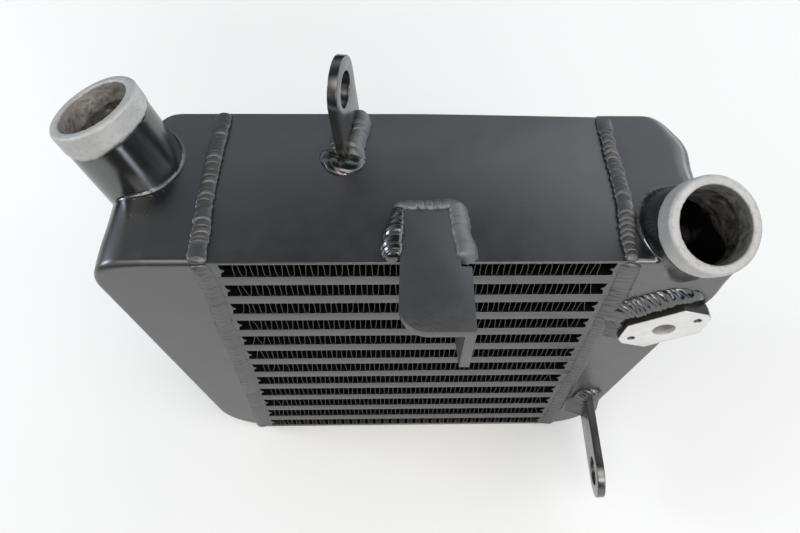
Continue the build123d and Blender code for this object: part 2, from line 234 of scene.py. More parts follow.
def tank_material(name, mouth, axis, band, bore, lip, inner):
    """Powder-coated casting with a bare cast mouth and bore."""
    n = Nodes(name)
    axis = unit(axis)
    fine = n.noise(1500.0, 4.0, 0.6)
    pebble = n.noise(560.0, 2.0, 0.5)
    slow = n.noise(14.0, 3.0, 0.6)
    mid = n.noise(85.0, 4.0, 0.6)
    body = n.mix(n.span(slow, 0.3, 0.7, 0.0, 1.0), (0.0062, 0.0063, 0.0066), (0.0098, 0.0099, 0.0102))
    body = n.mix(n.math("MULTIPLY", n.span(fine, 0.35, 0.75, 0.0, 1.0), 0.35), body, (0.0150, 0.0152, 0.0155))
    spots = n.math("MULTIPLY", n.span(n.voronoi(85.0), 0.020, 0.045, 1.0, 0.0), n.span(n.noise(130.0, 1.0), 0.60, 0.66, 0.0, 1.0))
    body = n.mix(n.math("MULTIPLY", spots, 0.45), body, (0.30, 0.30, 0.29))
    rough = n.math("ADD", n.span(mid, 0.25, 0.75, 0.31, 0.38), n.span(fine, 0.3, 0.7, -0.015, 0.02))
    # distance from the mouth plane, along the spigot, with an uneven edge
    depth = half_space(n, mouth, axis, -band)
    edge = n.math("ADD", n.math("MULTIPLY", n.math("SUBTRACT", n.noise(95.0, 3.0, 0.6), 0.5), 0.0032), n.math("MULTIPLY", n.math("SUBTRACT", n.noise(700.0, 2.0, 0.5), 0.5), 0.0010))
    edge = n.math("ADD", edge, half_space(n, mouth, lip))
    edged = n.math("ADD", depth, edge)
    bare = n.span(edged, -0.00016, 0.00016, 0.0, 1.0)
    shade = n.math("MULTIPLY", n.span(edged, -0.0001, 0.0012, 1.0, 0.0), n.span(n.noise(230.0, 3.0, 0.6), 0.42, 0.60, 0.0, 1.0))
    # inside the bore: distance from the spigot's axis
    offset = n.vmath("SUBTRACT", n.coord, tuple(float(v) for v in mouth))
    cross = n.vmath("LENGTH", n.vmath("CROSS_PRODUCT", offset, tuple(float(v) for v in axis)))
    # the coat has flowed smoother round the spigot and its root
    flowed = n.span(cross, 0.027, 0.047, 1.0, 0.0)
    rough = n.math("SUBTRACT", rough, n.math("MULTIPLY", flowed, 0.14))
    inside = n.span(cross, bore + 0.0003, bore - 0.0002, 0.0, 1.0)
    near = n.span(half_space(n, mouth, axis), -0.090, -0.075, 0.0, 1.0)
    inside = n.math("MULTIPLY", inside, near)
    # bare cast aluminium
    cast = n.noise(420.0, 5.0, 0.65)
    blotch = n.noise(60.0, 4.0, 0.65)
    metal = n.mix(n.span(blotch, 0.30, 0.72, 0.0, 1.0), (0.43, 0.422, 0.405), (0.56, 0.553, 0.538))
    metal = n.mix(n.span(cast, 0.54, 0.72, 0.0, 0.55), metal, (0.27, 0.262, 0.248))
    metal = n.mix(n.math("MULTIPLY", shade, 0.85), metal, (0.045, 0.042, 0.040))
    dirt = n.mix(n.span(n.noise(170.0, 5.0, 0.7), 0.35, 0.70, 0.0, 1.0), tuple(0.55 * c for c in inner), inner)
    dirt = n.mix(n.span(n.noise(520.0, 3.0, 0.7), 0.52, 0.70, 0.0, 0.8), dirt, tuple(0.28 * c for c in inner))
    metal = n.mix(inside, metal, dirt)
    bare = n.math("MAXIMUM", bare, inside)
    color = n.mix(bare, body, metal)
    r = n.math("ADD", n.math("MULTIPLY", rough, n.math("SUBTRACT", 1.0, bare)), n.math("MULTIPLY", n.span(cast, 0.3, 0.7, 0.50, 0.66), bare))
    pebble = n.math("MULTIPLY", n.math("ADD", n.math("MULTIPLY", fine, 0.5), pebble), n.math("SUBTRACT", 1.0, n.math("MULTIPLY", flowed, 0.85)))
    fine_normal = n.bump(pebble, 0.07, 0.00035)
    lump = n.math("MULTIPLY", n.noise(520.0, 5.0, 0.7), bare)
    lump = n.math("ADD", lump, n.math("MULTIPLY", n.noise(210.0, 4.0, 0.7), n.math("MULTIPLY", inside, 2.6)))
    normal = n.bump(lump, 0.55, 0.0006, fine_normal)
    mat = n.finish(color, r, normal, metallic=n.math("MULTIPLY", bare, 0.45), ior=2.08)
    return mat


def fin_material():
    n = Nodes("painted_fin_stock")
    slow = n.noise(40.0, 3.0, 0.6)
    body = n.mix(n.span(slow, 0.3, 0.7, 0.0, 1.0), (0.020, 0.020, 0.021), (0.040, 0.040, 0.041))
    # painted highlight: the fins' front edges are painted a lighter grey than the stock behind them, for the light
    # they catch
    front = n.span(n.vmath("DOT_PRODUCT", n.coord, (0.0, 1.0, 0.0)), (32.3 - YF + 0.2) * 1e-3, (32.3 - YF + 9.0) * 1e-3, 1.0, 0.0)
    body = n.mix(front, body, tuple([0.060] * 3))
    r = n.span(slow, 0.2, 0.8, 0.34, 0.48)
    return n.finish(body, r, n.bump(n.noise(1400.0, 2.0), 0.10, 0.0002), ior=1.6)


def machined_material():
    """Face-milled aluminium: faint parallel cutter lines and soft blotches."""
    n = Nodes("machined_face")
    angle = math.radians(33.2)
    lines = n.mapping(scale=(1.0, 1.0, 1.0), rotation=(0.0, angle, 0.0))
    lines = n.mapping(scale=(26.0, 900.0, 900.0), vector=lines)
    cut = n.noise(1.0, 3.0, 0.6, vector=lines)
    blotch = n.noise(120.0, 4.0, 0.6)
    body = n.mix(n.span(blotch, 0.3, 0.7, 0.0, 1.0), (0.70, 0.693, 0.678), (0.80, 0.793, 0.778))
    body = n.mix(n.span(cut, 0.55, 0.75, 0.0, 0.35), body, (0.58, 0.574, 0.562))
    # black coat on the sides, behind the face
    depth = n.vmath("DOT_PRODUCT", n.coord, (0.0, 1.0, 0.0))
    edge = n.math("MULTIPLY", n.math("SUBTRACT", n.noise(240.0, 3.0), 0.5), 0.0004)
    coat = n.span(n.math("ADD", depth, edge), (32.3 - YF - 7.5 + 0.35) * 1e-3, (32.3 - YF - 7.5 + 0.55) * 1e-3, 0.0, 1.0)
    # bores stay bare
    centre = mm(140.9, -YF, ZT - 60.4)
    flat = n.vmath("MULTIPLY", n.vmath("SUBTRACT", n.coord, tuple(float(v) for v in centre)), (1.0, 0.0, 1.0))
    ring = n.span(n.vmath("LENGTH", flat), 0.0066, 0.0068, 0.0, 1.0)
    coat = n.math("MULTIPLY", coat, ring)
    for side in (-1, 1):
        c = mm(140.9 + side * 18.8 * math.cos(angle), -YF, ZT - 60.4 + side * 18.8 * math.sin(angle))
        flat = n.vmath("MULTIPLY", n.vmath("SUBTRACT", n.coord, tuple(float(v) for v in c)), (1.0, 0.0, 1.0))
        coat = n.math("MULTIPLY", coat, n.span(n.vmath("LENGTH", flat), 0.0024, 0.0026, 0.0, 1.0))
        # painted shade inside the screw holes, behind the face
        screw_hole_shade = n.math("MULTIPLY", n.span(n.vmath("LENGTH", flat), 0.00236, 0.00250, 1.0, 0.0), n.span(depth, (32.3 - YF - 7.5 + 0.15) * 1e-3, (32.3 - YF - 7.5 + 0.6) * 1e-3, 0.0, 1.0))
        body = n.mix(n.math("MULTIPLY", screw_hole_shade, 0.88), body, (0.06, 0.055, 0.05))
    color = n.mix(coat, body, (0.014, 0.013, 0.012))
    r = n.math("ADD", n.math("MULTIPLY", n.span(cut, 0.3, 0.7, 0.34, 0.50), n.math("SUBTRACT", 1.0, coat)), n.math("MULTIPLY", 0.40, coat))
    normal = n.bump(cut, 0.12, 0.0002)
    metal = n.math("MULTIPLY", n.math("SUBTRACT", 1.0, coat), 0.75)
    return n.finish(color, r, normal, metallic=metal)


def mill_material():
    n = Nodes("mill_aluminium_sheet")
    rolled = n.noise(1.0, 3.0, 0.6, vector=n.mapping(scale=(700.0, 30.0, 700.0)))
    body = n.mix(n.span(rolled, 0.3, 0.7, 0.0, 1.0), (0.55, 0.55, 0.56), (0.72, 0.72, 0.73))
    return n.finish(body, n.span(rolled, 0.3, 0.7, 0.30, 0.45), n.bump(rolled, 0.08, 0.0002), metallic=1.0)


plate_paint = paint("satin_coat_plate", rough=0.34)
bar_paint = paint("satin_coat_bars", tone=1.1, rough=0.42, grain=0.16)
bracket_paint = paint("satin_coat_bracket", tone=1.1, rough=0.42, grain=0.30)
lug_paint = paint("gloss_coat_lug", tone=0.75, rough=0.24, grain=0.06)
bead_paint = paint("satin_coat_bead", tone=1.0, rough=0.44, grain=0.05, dust=0.4)
seam_paint = paint("thin_coat_seam", tone=1.2, rough=0.44, grain=0.10, dust=0.5, tint=(0.010, 0.0098, 0.0094))
# painted sheen: the grey tint lifts the bracket's back and right bead to the pale look of its reflections
sheen_tinted_paint = paint("bead_coat_painted_sheen", tone=1.2, rough=0.52, grain=0.18, dust=0.6, tint=(0.052, 0.054, 0.056))
bead_gloss = glossy_paint("gloss_coat_bead", 0.15)
fin_paint = fin_material()
machined = machined_material()
mill = mill_material()
flange_gloss = glossy_paint("gloss_coat_flange_bead", 0.13)


def pocket_shade_material():
    """Near-black painted shade for the unlit depth of the fin pockets."""
    n = Nodes("pocket_painted_shade")
    t = n.noise(60.0, 2.0, 0.5)
    return n.finish(n.mix(t, (0.0012, 0.0012, 0.0012), (0.0035, 0.0034, 0.0033)), n.span(t, 0.3, 0.7, 0.7, 0.85), specular=0.12)


pocket_shade = pocket_shade_material()


def darken_inside(ob, facing=0.5):
    """Gives every face that doesn't look out of the core the pockets' painted shade."""
    me = ob.data
    me.materials.append(pocket_shade)
    for f in me.polygons:
        if abs(f.normal.y) < facing:
            f.material_index = 1

LEFT_MOUTH, LEFT_AXIS = (-164.7, 23.0, ZT + 33.5), (-0.365, 0.166, 0.916)
RIGHT_MOUTH, RIGHT_AXIS = (143.5, -43.1, ZT + 22.2), (0.156, -0.453, 0.877)
left_cast = tank_material("cast_tank_left", mm(*LEFT_MOUTH), LEFT_AXIS, 0.0132, 0.0198, (-0.05, -0.05, 0.0), (0.30, 0.275, 0.25))
right_cast = tank_material("cast_tank_right", mm(*RIGHT_MOUTH), RIGHT_AXIS, 0.0120, 0.0198, (0.0, 0.0, 0.0), (0.24, 0.23, 0.20))


# ---------------------------------------------------------------- geometry
def place(name, verts, faces, material, slot, nodes=(), smooth=True, sharp=None):
    me = bpy.data.meshes.new(name)
    me.from_pydata([tuple(map(float, v)) for v in verts], [], [tuple(map(int, f)) for f in faces])
    me.validate()
    me.update()
    ob = bpy.data.objects.new(name, me)
    scene.collection.objects.link(ob)
    return dress(ob, material, slot, nodes, smooth, sharp)


def dress(ob, material, slot, nodes=(), smooth=True, sharp=None):
    me = ob.data
    me.materials.clear()
    me.materials.append(material)
    if smooth:
        me.polygons.foreach_set("use_smooth", [True] * len(me.polygons))
        if sharp is not None:
            me.set_sharp_from_angle(angle=math.radians(sharp))
    me.update()
    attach(ob, "root")
    if nodes:
        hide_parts(*nodes)
    return ob


def bake_modifiers(ob):
    """Applies the modifiers of a piece of this script's own."""
    bpy.context.view_layer.update()
    deps = bpy.context.evaluated_depsgraph_get()
    me = bpy.data.meshes.new_from_object(ob.evaluated_get(deps))
    ob.modifiers.clear()
    ob.data = me
    return ob


def fix_normals(me):
    bm = bmesh.new()
    bm.from_mesh(me)
    bmesh.ops.recalc_face_normals(bm, faces=bm.faces)
    bm.to_mesh(me)
    bm.free()
    me.update()


def extrusion(outline, origin, x_dir, y_dir, depth_dir, depth, bevel=0.0, segments=2, angle=30.0):
    """Solid from a closed 2-D outline in mm, as arrays of verts and faces."""
    o, x, y, d = (np.asarray(v, float) for v in (origin, x_dir, y_dir, depth_dir))
    bm = bmesh.new()
    near = [bm.verts.new(tuple(mm(*(o + x * u + y * v)))) for u, v in outline]
    far = [bm.verts.new(tuple(mm(*(o + x * u + y * v + d * depth)))) for u, v in outline]
    k = len(outline)
    bm.faces.new(near)
    bm.faces.new(far[::-1])
    for i in range(k):
        j = (i + 1) % k
        bm.faces.new((near[i], far[i], far[j], near[j]))
    bmesh.ops.recalc_face_normals(bm, faces=bm.faces)
    if bevel:
        edges = [e for e in bm.edges if len(e.link_faces) == 2 and e.calc_face_angle() > math.radians(angle)]
        bmesh.ops.bevel(bm, geom=edges, offset=bevel * 1e-3, segments=segments, profile=0.5, affect="EDGES", clamp_overlap=True)
    bm.verts.index_update()
    verts = np.array([v.co[:] for v in bm.verts])
    faces = [[v.index for v in f.verts] for f in bm.faces]
    bm.free()
    return verts, faces


def join(parts):
    verts, faces, base = [], [], 0
    for v, f in parts:
        verts.append(np.asarray(v))
        faces += [[i + base for i in q] for q in f]
        base += len(v)
    return np.concatenate(verts), faces


def slab(x0, x1, y0, y1, z0, z1, bevel, segments=2):
    return extrusion([(x0, y0), (x1, y0), (x1, y1), (x0, y1)], (0, 0, z0), (1, 0, 0), (0, 1, 0), (0, 0, 1), z1 - z0, bevel, segments)


# ------------------------------------------------------------------- core
side_plate = 1.8
sheet = 0.5
fin_h = 11.4
pass_h = 7.1
pitch = 19.5
rows = 12
end_w = 6.0
Z0 = 2.0


def row_base(i):
    return Z0 + side_plate + i * pitch


def rear(x):
    """The core's back edge runs a little in towards its right end."""
    return YF - 2.4 * max(0.0, (x - 5.0) / 101.0) ** 1.15


def plan_slab(y0, z0, z1, bevel, segments=2, inset=0.0):
    """Slab from y0 to the core's back edge."""
    xs = [XJ, 85.0, 65.0, 45.0, 25.0, 5.0, -XJ]
    outline = [(-XJ, y0), (XJ, y0)] + [(x, rear(x) - inset) for x in xs]
    return extrusion(outline, (0, 0, z0), (1, 0, 0), (0, 1, 0), (0, 0, 1), z1 - z0, bevel, segments)


random.seed(11)
place("core_top_plate", *plan_slab(-YF, ZT - side_plate, ZT, 0.45, 3), plate_paint, "black_powder_coat", ["top_side_plate"], sharp=30)
place("core_bottom_plate", *plan_slab(-YF, Z0, Z0 + side_plate, 0.45, 3), plate_paint, "black_powder_coat", ["bottom_side_plate"], sharp=30)

sheets, fronts, rears, lefts, rights = [], [], [], [], []
for i in range(rows):
    base = row_base(i)
    top = base + fin_h
    inner = XJ - end_w
    tip = 2.5 + random.uniform(-0.25, 0.25)
    shape = [(0, 0), (0.15, 0.24), (0.75, 0.37), (tip, 0.49), (tip, 0.52), (0.75, 0.64), (0.15, 0.77), (0, 1)]
    for side, out in ((-1, lefts), (1, rights)):
        jitter = random.uniform(-0.25, 0.25)
        outline = [(side * XJ, base + 0.03)] + [(side * (inner + jitter - a), base + 0.03 + b * (fin_h - 0.06)) for a, b in shape] + [(side * XJ, top - 0.03)]
        inset = random.uniform(0.0, 0.12)
        out.append(extrusion(outline, (0, -YF + inset, 0), (1, 0, 0), (0, 0, 1), (0, 1, 0), YF + rear(side * XJ) - 2 * inset, 0.16, 1, 25.0))
    if i == rows - 1:
        break
    for z in (top, top + sheet + pass_h):
        sheets.append(plan_slab(-YF + 0.05, z, z + sheet, 0.10, 1, 0.05))
    lo, hi = top + sheet, top + sheet + pass_h
    fronts.append(slab(-XJ, XJ, -YF, -YF + 8.0, lo + 0.02, hi - 0.02, 0.22, 2))
    rears.append(plan_slab(YF - 8.0, lo + 0.02, hi - 0.02, 0.22, 2))
darken_inside(place("tube_sheets", *join(sheets), bar_paint, "black_powder_coat", ["separator_sheets"], sharp=30))
place("front_bars", *join(fronts), bar_paint, "black_powder_coat", ["front_long_bars"], sharp=30)
place("rear_bars", *join(rears), bar_paint, "black_powder_coat", ["rear_long_bars"], sharp=30)
darken_inside(place("left_closing_bars", *join(lefts), bar_paint, "black_powder_coat", ["left_end_bars"], sharp=30))
darken_inside(place("right_closing_bars", *join(rights), bar_paint, "black_powder_coat", ["right_end_bars"], sharp=30))


# ------------------------------------------------------------------- fins
def fin_line(base, seed):
    """Centre line of one folded fin: rounded folds, legs that lean both ways
    and are never quite alike."""
    rnd = random.Random(seed)
    lo, hi = base + 0.17, base + fin_h - 0.17
    span = XJ - end_w - 3.3
    wave = 6.0 * rnd.uniform(0.985, 1.015)
    waves = int(2 * span / wave)
    start = -waves * wave / 2 + rnd.uniform(-0.9, 0.9)
    start = max(start, -span)
    points = []
    drift = 0.0
    bend_from, bend_to = rnd.uniform(0.0, 1.0), rnd.uniform(0.0, 1.0)
    for k in range(2 * waves):
        up = k % 2 == 0
        s = start + k * wave / 2 + drift
        drift += rnd.uniform(-0.10, 0.10)
        drift *= 0.93
        lean = 0.16 + rnd.uniform(-0.13, 0.13)
        bow = rnd.uniform(-0.16, 0.16)
        if k < 3 or k > 2 * waves - 4:
            lean += rnd.uniform(-0.5, 0.9)
            bow += rnd.uniform(-0.4, 0.4)
        r = 1.28
        x0 = s + wave / 4 - lean
        x1 = s + wave / 4 + lean
        z0, z1 = (lo, hi) if up else (hi, lo)
        sign = 1 if up else -1
        # foot fold, leg, head fold
        for t in (0.0, 0.2, 0.4, 0.6, 0.8, 1.0):
            a = math.pi / 2 * t
            points.append((x0 - r + r * math.sin(a), z0 + sign * (r - r * math.cos(a))))
        for t in (0.3, 0.5, 0.7):
            zz = z0 + sign * (r + (hi - lo - 2 * r) * t)
            points.append((x0 + (x1 - x0) * t + bow * math.sin(math.pi * t), zz))
        for t in (0.0, 0.2, 0.4, 0.6, 0.8):
            a = math.pi / 2 * t
            points.append((x1 + r - r * math.cos(a), z1 - sign * (r - r * math.sin(a))))
    kept = [points[0]]
    for p in points[1:]:
        if p[0] > kept[-1][0] - 0.9 and math.dist(p, kept[-1]) > 0.12:
            kept.append(p)
    return [(min(max(x, -span - 0.4), span + 0.4), z) for x, z in kept]


def strip(line, gauge, y0, y1, seed):
    """Thin folded sheet along line, as a closed solid."""
    p = np.array(line)
    d = np.gradient(p, axis=0)
    d /= np.linalg.norm(d, axis=1)[:, None]
    nrm = np.stack([-d[:, 1], d[:, 0]], 1)
    a, b = p + nrm * gauge / 2, p - nrm * gauge / 2
    rnd = np.random.default_rng(seed)
    lip = rnd.normal(0, 0.12, len(p))
    lip = np.convolve(lip, np.ones(5) / 5, "same")
    k = len(p)
    ys = [y0 + np.abs(lip), np.full(k, y0 + 8.0), np.array([rear(x) for x in p[:, 0]]) - y1]
    verts, faces = [], []
    for y in ys:
        for side in (a, b):
            verts.append(np.stack([side[:, 0], y, side[:, 1]], 1))
    verts = np.concatenate(verts)

    def idx(layer, side, i):
        return (layer * 2 + side) * k + i

    for i in range(k - 1):
        for layer in range(2):
            faces.append((idx(layer, 0, i), idx(layer, 0, i + 1), idx(layer + 1, 0, i + 1), idx(layer + 1, 0, i)))
            faces.append((idx(layer, 1, i + 1), idx(layer, 1, i), idx(layer + 1, 1, i), idx(layer + 1, 1, i + 1)))
        faces.append((idx(0, 0, i + 1), idx(0, 0, i), idx(0, 1, i), idx(0, 1, i + 1)))
        faces.append((idx(2, 0, i), idx(2, 0, i + 1), idx(2, 1, i + 1), idx(2, 1, i)))
    for i, flip in ((0, False), (k - 1, True)):
        for layer in range(2):
            q = (idx(layer, 0, i), idx(layer + 1, 0, i), idx(layer + 1, 1, i), idx(layer, 1, i))
            faces.append(q[::-1] if flip else q)
    return mm_all(verts), faces


for i in range(rows):
    v, f = strip(fin_line(row_base(i), 100 + i), 0.24, -YF + 0.35, 0.5, i)
    ob = place(f"fin_row_{i + 1:02d}", v, f, fin_paint, "painted_fin", [f"ambient_fin_{i + 1:02d}"], sharp=50)
    fix_normals(ob.data)
    darken_inside(ob, 0.6)


# ------------------------------------------------------------------ plates
def rounded(points, radii, steps=10):
    """Closed outline with its corners rounded."""
    out = []
    k = len(points)
    for i in range(k):
        p0, p1, p2 = (np.array(points[(i + j) % k], float) for j in (-1, 0, 1))
        r = radii[i]
        if r <= 0:
            out.append(tuple(p1))
            continue
        u, v = unit(p0 - p1), unit(p2 - p1)
        half = math.acos(max(-1, min(1, float(u @ v)))) / 2
        reach = r / math.tan(half)
        c = p1 + unit(u + v) * (r / math.sin(half))
        a, b = p1 + u * reach, p1 + v * reach
        a0 = math.atan2(*(a - c)[::-1])
        a1 = math.atan2(*(b - c)[::-1])
        turn = (a1 - a0 + math.pi) % (2 * math.pi) - math.pi
        for t in np.linspace(0, 1, steps + 1):
            out.append((c[0] + r * math.cos(a0 + turn * t), c[1] + r * math.sin(a0 + turn * t)))
    return out


def circle(cx, cy, r, n=64):
    return [(cx + r * math.cos(2 * math.pi * i / n), cy + r * math.sin(2 * math.pi * i / n)) for i in range(n)]


def sheet_metal(outline, holes, origin, x_dir, y_dir, thickness, edge=0.35, steps=2):
    """Plate with holes and rounded edges.  origin is a point of its near face
    in core mm, and the plate lies on the side away from x_dir cross y_dir."""
    cu = bpy.data.curves.new("outline", "CURVE")
    cu.dimensions = "2D"
    cu.fill_mode = "BOTH"
    for loop in [outline] + list(holes):
        sp = cu.splines.new("POLY")
        sp.points.add(len(loop) - 1)
        for q, (u, v) in zip(sp.points, loop):
            q.co = (u, v, 0.0, 1.0)
        sp.use_cyclic_u = True
    cu.extrude = thickness / 2 - edge
    cu.bevel_depth = edge
    cu.bevel_resolution = steps
    cu.offset = -edge
    ob = bpy.data.objects.new("outline", cu)
    scene.collection.objects.link(ob)
    bpy.context.view_layer.update()
    me = bpy.data.meshes.new_from_object(ob)
    bpy.data.objects.remove(ob)
    x, y = unit(x_dir), unit(y_dir)
    z = np.cross(x, y)
    co = np.array([v.co[:] for v in me.vertices])
    co = np.asarray(origin, float) + co[:, :1] * x + co[:, 1:2] * y + (co[:, 2:] - thickness / 2) * z
    faces = [list(p.vertices) for p in me.polygons]
    bpy.data.meshes.remove(me)
    return mm_all(co), faces


def weld_points(ob, distance=1e-6):
    bm = bmesh.new()
    bm.from_mesh(ob.data)
    bmesh.ops.remove_doubles(bm, verts=bm.verts, dist=distance)
    bmesh.ops.recalc_face_normals(bm, faces=bm.faces)
    bm.to_mesh(ob.data)
    bm.free()
    ob.data.update()


LUG_R, LUG_HOLE, PLATE = 17.4, 9.5, 5.2
top_origin = np.array([-37.0, 15.3, ZT])
top_along = unit((0.1994, 0.9799, 0))
top_normal = unit((0.97605, -0.19858, 0.08889))
top_up = unit(np.cross(top_normal, top_along))


def lug_outline(reach, below):
    """Straight strap with one round end, from its root line."""
    out = [(0.0, -below), (2 * LUG_R, -below)]
    for t in np.linspace(0, math.pi, 41):
        out.append((LUG_R + LUG_R * math.cos(t), reach + LUG_R * math.sin(t)))
    return out


def lug(name, origin, along, up, reach, below, node, edge=0.55):
    v, f = sheet_metal(lug_outline(reach, below), [circle(LUG_R, reach, LUG_HOLE, 72)], origin, along, up, PLATE, edge, 3)
    ob = place(name, v, f, lug_paint, "black_powder_coat", [node])
    weld_points(ob, 2e-6)
    ob.data.set_sharp_from_angle(angle=math.radians(35))
    return ob


lug("upright_lug", top_origin, top_along, np.cross(top_normal, top_along), 35.6, 1.2, "top_bracket")
low_middle = np.array([124.7, -99.2, ZT - 187.8])
low_normal = unit((-0.991, 0, -0.131))
low_across = unit(np.cross((0, -1, 0), low_normal))
low_origin = np.array([low_middle[0], -YF, low_middle[2]]) - low_across * LUG_R
lug("forward_lug", low_origin, low_across, np.cross(low_normal, low_across), 99.19 - YF, 1.0, "lower_bracket")


# angle bracket
def boolean(a, b, op="UNION"):
    m = a.modifiers.new("b", "BOOLEAN")
    m.operation = op
    m.solver = "EXACT"
    m.object = b
    bake_modifiers(a)
    bpy.data.objects.remove(b)
    return a


def raw(name, v, f):
    me = bpy.data.meshes.new(name)
    me.from_pydata([tuple(map(float, q)) for q in v], [], [tuple(q) for q in f])
    me.update()
    ob = bpy.data.objects.new(name, me)
    scene.collection.objects.link(ob)
    fix_normals(me)
    return ob


plate_outline = rounded([(-8.2, -18.0), (-11.3, -91.3), (25.6, -91.3), (25.6, -55.5), (20.4, -55.5), (18.6, -18.0)], [1.0, 14.0, 0.8, 0.6, 0, 1.0], 18)
leg_outline = rounded([(-91.3, 0.0), (-91.3, -34.6), (-55.5, -50.0), (-55.5, 0.0)], [0, 1.8, 1.0, 0], 6)
bracket = raw("angle_bracket", *extrusion(plate_outline, (0, 0, ZT), (1, 0, 0), (0, 1, 0), (0, 0, 1), PLATE))
leg = raw("leg", *extrusion([(a, b) for a, b in leg_outline[:-1]] + [(-55.5, 2.0), (-91.3, 2.0)][:2], (25.6 - PLATE, 0, ZT), (0, 1, 0), (0, 0, 1), (1, 0, 0), PLATE))
bracket = boolean(bracket, leg)
bm = bmesh.new()
bm.from_mesh(bracket.data)
bmesh.ops.remove_doubles(bm, verts=bm.verts, dist=1e-6)
bmesh.ops.dissolve_limit(bm, angle_limit=math.radians(0.4), verts=bm.verts, edges=bm.edges)
bmesh.ops.recalc_face_normals(bm, faces=bm.faces)
edges = [e for e in bm.edges if len(e.link_faces) == 2 and e.calc_face_angle() > math.radians(50)]
bmesh.ops.bevel(bm, geom=edges, offset=0.00042, segments=2, profile=0.5, affect="EDGES", clamp_overlap=True)
bm.to_mesh(bracket.data)
bm.free()
dress(bracket, bracket_paint, "black_powder_coat", ["front_bracket"], sharp=35)


# sensor flange
FA = math.radians(33.2)
flange_centre = np.array([140.9, -YF - 7.5, ZT - 60.4])
flange_x = np.array([math.cos(FA), 0, math.sin(FA)])
flange_y = np.cross((0, -1, 0), flange_x)
AL, AC = 25.5, 15.5
octagon = [(-AL + 9.6, AC), (AL - 9.6, AC), (AL, AC - 12.4), (AL, -AC + 12.4), (AL - 9.6, -AC), (-AL + 9.6, -AC), (-AL, -AC + 12.4), (-AL, AC - 12.4)]
octagon = octagon[::-1]


def thread(cx, cy, r_out, r_in, length, turns_pitch=0.8, depth0=0.3):
    """Helical thread ridge inside a screw hole."""
    steps = int(length / turns_pitch * 24)
    verts, faces = [], []
    for i in range(steps + 1):
        a = 2 * math.pi * i / 24
        z = -depth0 - turns_pitch * i / 24
        for r, dz in ((r_out, 0.36), (r_in, 0.0), (r_out, -0.36)):
            verts.append((cx + r * math.cos(a), cy + r * math.sin(a), z + dz))
    for i in range(steps):
        for j in range(3):
            k = (j + 1) % 3
            faces.append((3 * i + j, 3 * i + k, 3 * i + 3 + k, 3 * i + 3 + j))
    faces.append((2, 1, 0))
    faces.append((3 * steps, 3 * steps + 1, 3 * steps + 2))
    co = np.array(verts)
    z_dir = np.cross(flange_x, flange_y)
    co = flange_centre + co[:, :1] * flange_x + co[:, 1:2] * flange_y + co[:, 2:] * z_dir
    return mm_all(co), faces


holes = [circle(0, 0, 6.4, 72)[::-1], circle(-18.8, 0, 2.35, 40)[::-1], circle(18.8, 0, 2.35, 40)[::-1]]
v, f = sheet_metal(octagon, holes, flange_centre, flange_x, flange_y, 7.5, 0.22, 1)
flange = place("sensor_boss", v, f, machined, "machined_aluminium", ["sensor_flange"])
weld_points(flange, 2e-6)
flange.data.set_sharp_from_angle(angle=math.radians(35))
threads = place("screw_threads", *join([thread(s * 18.8, 0, 2.36, 1.95, 5.6) for s in (-1, 1)]), machined, "machined_aluminium", sharp=25)
fix_normals(threads.data)


# ------------------------------------------------------------------- welds
def curve_through(points, count):
    """Catmull-Rom curve through points, evenly spaced along its length."""
    p = np.asarray(points, float)
    ext = np.concatenate([2 * p[:1] - p[1:2], p, 2 * p[-1:] - p[-2:-1]])
    out = []
    for i in range(1, len(ext) - 2):
        a, b, c, d = ext[i - 1 : i + 3]
        for t in np.linspace(0, 1, 12, endpoint=False):
            out.append(0.5 * (2 * b + (c - a) * t + (2 * a - 5 * b + 4 * c - d) * t**2 + (3 * b - a - 3 * c + d) * t**3))
    out.append(ext[-2])
    out = np.array(out)
    s = np.concatenate([[0], np.cumsum(np.linalg.norm(np.diff(out, axis=0), axis=1))])
    t = np.linspace(0, s[-1], count)
    return np.stack([np.interp(t, s, out[:, i]) for i in range(out.shape[1])], 1)


def rope(half, h, count=29, tuck=0.30, flat=1.0, right=None):
    """Section of a proud bead whose sides tuck in at the toes."""
    a = np.linspace(math.pi + tuck, -(tuck if right is None else right), count)
    d = half * np.sign(np.cos(a)) * np.abs(np.cos(a)) ** flat
    z = h * (np.sin(a) + math.sin(tuck)) / (1 + math.sin(tuck))
    return np.stack([d, z], 1)


def swell(half, h, count=29, power=0.8, lean=0.0):
    """Section of a low bead that blends into the metal beside it."""
    d = np.linspace(-1, 1, count)
    top = np.clip(1 - np.abs(d) ** 2.2, 0, 1) ** power
    return np.stack([half * d, h * top * (1 + lean * d) - 0.05], 1)


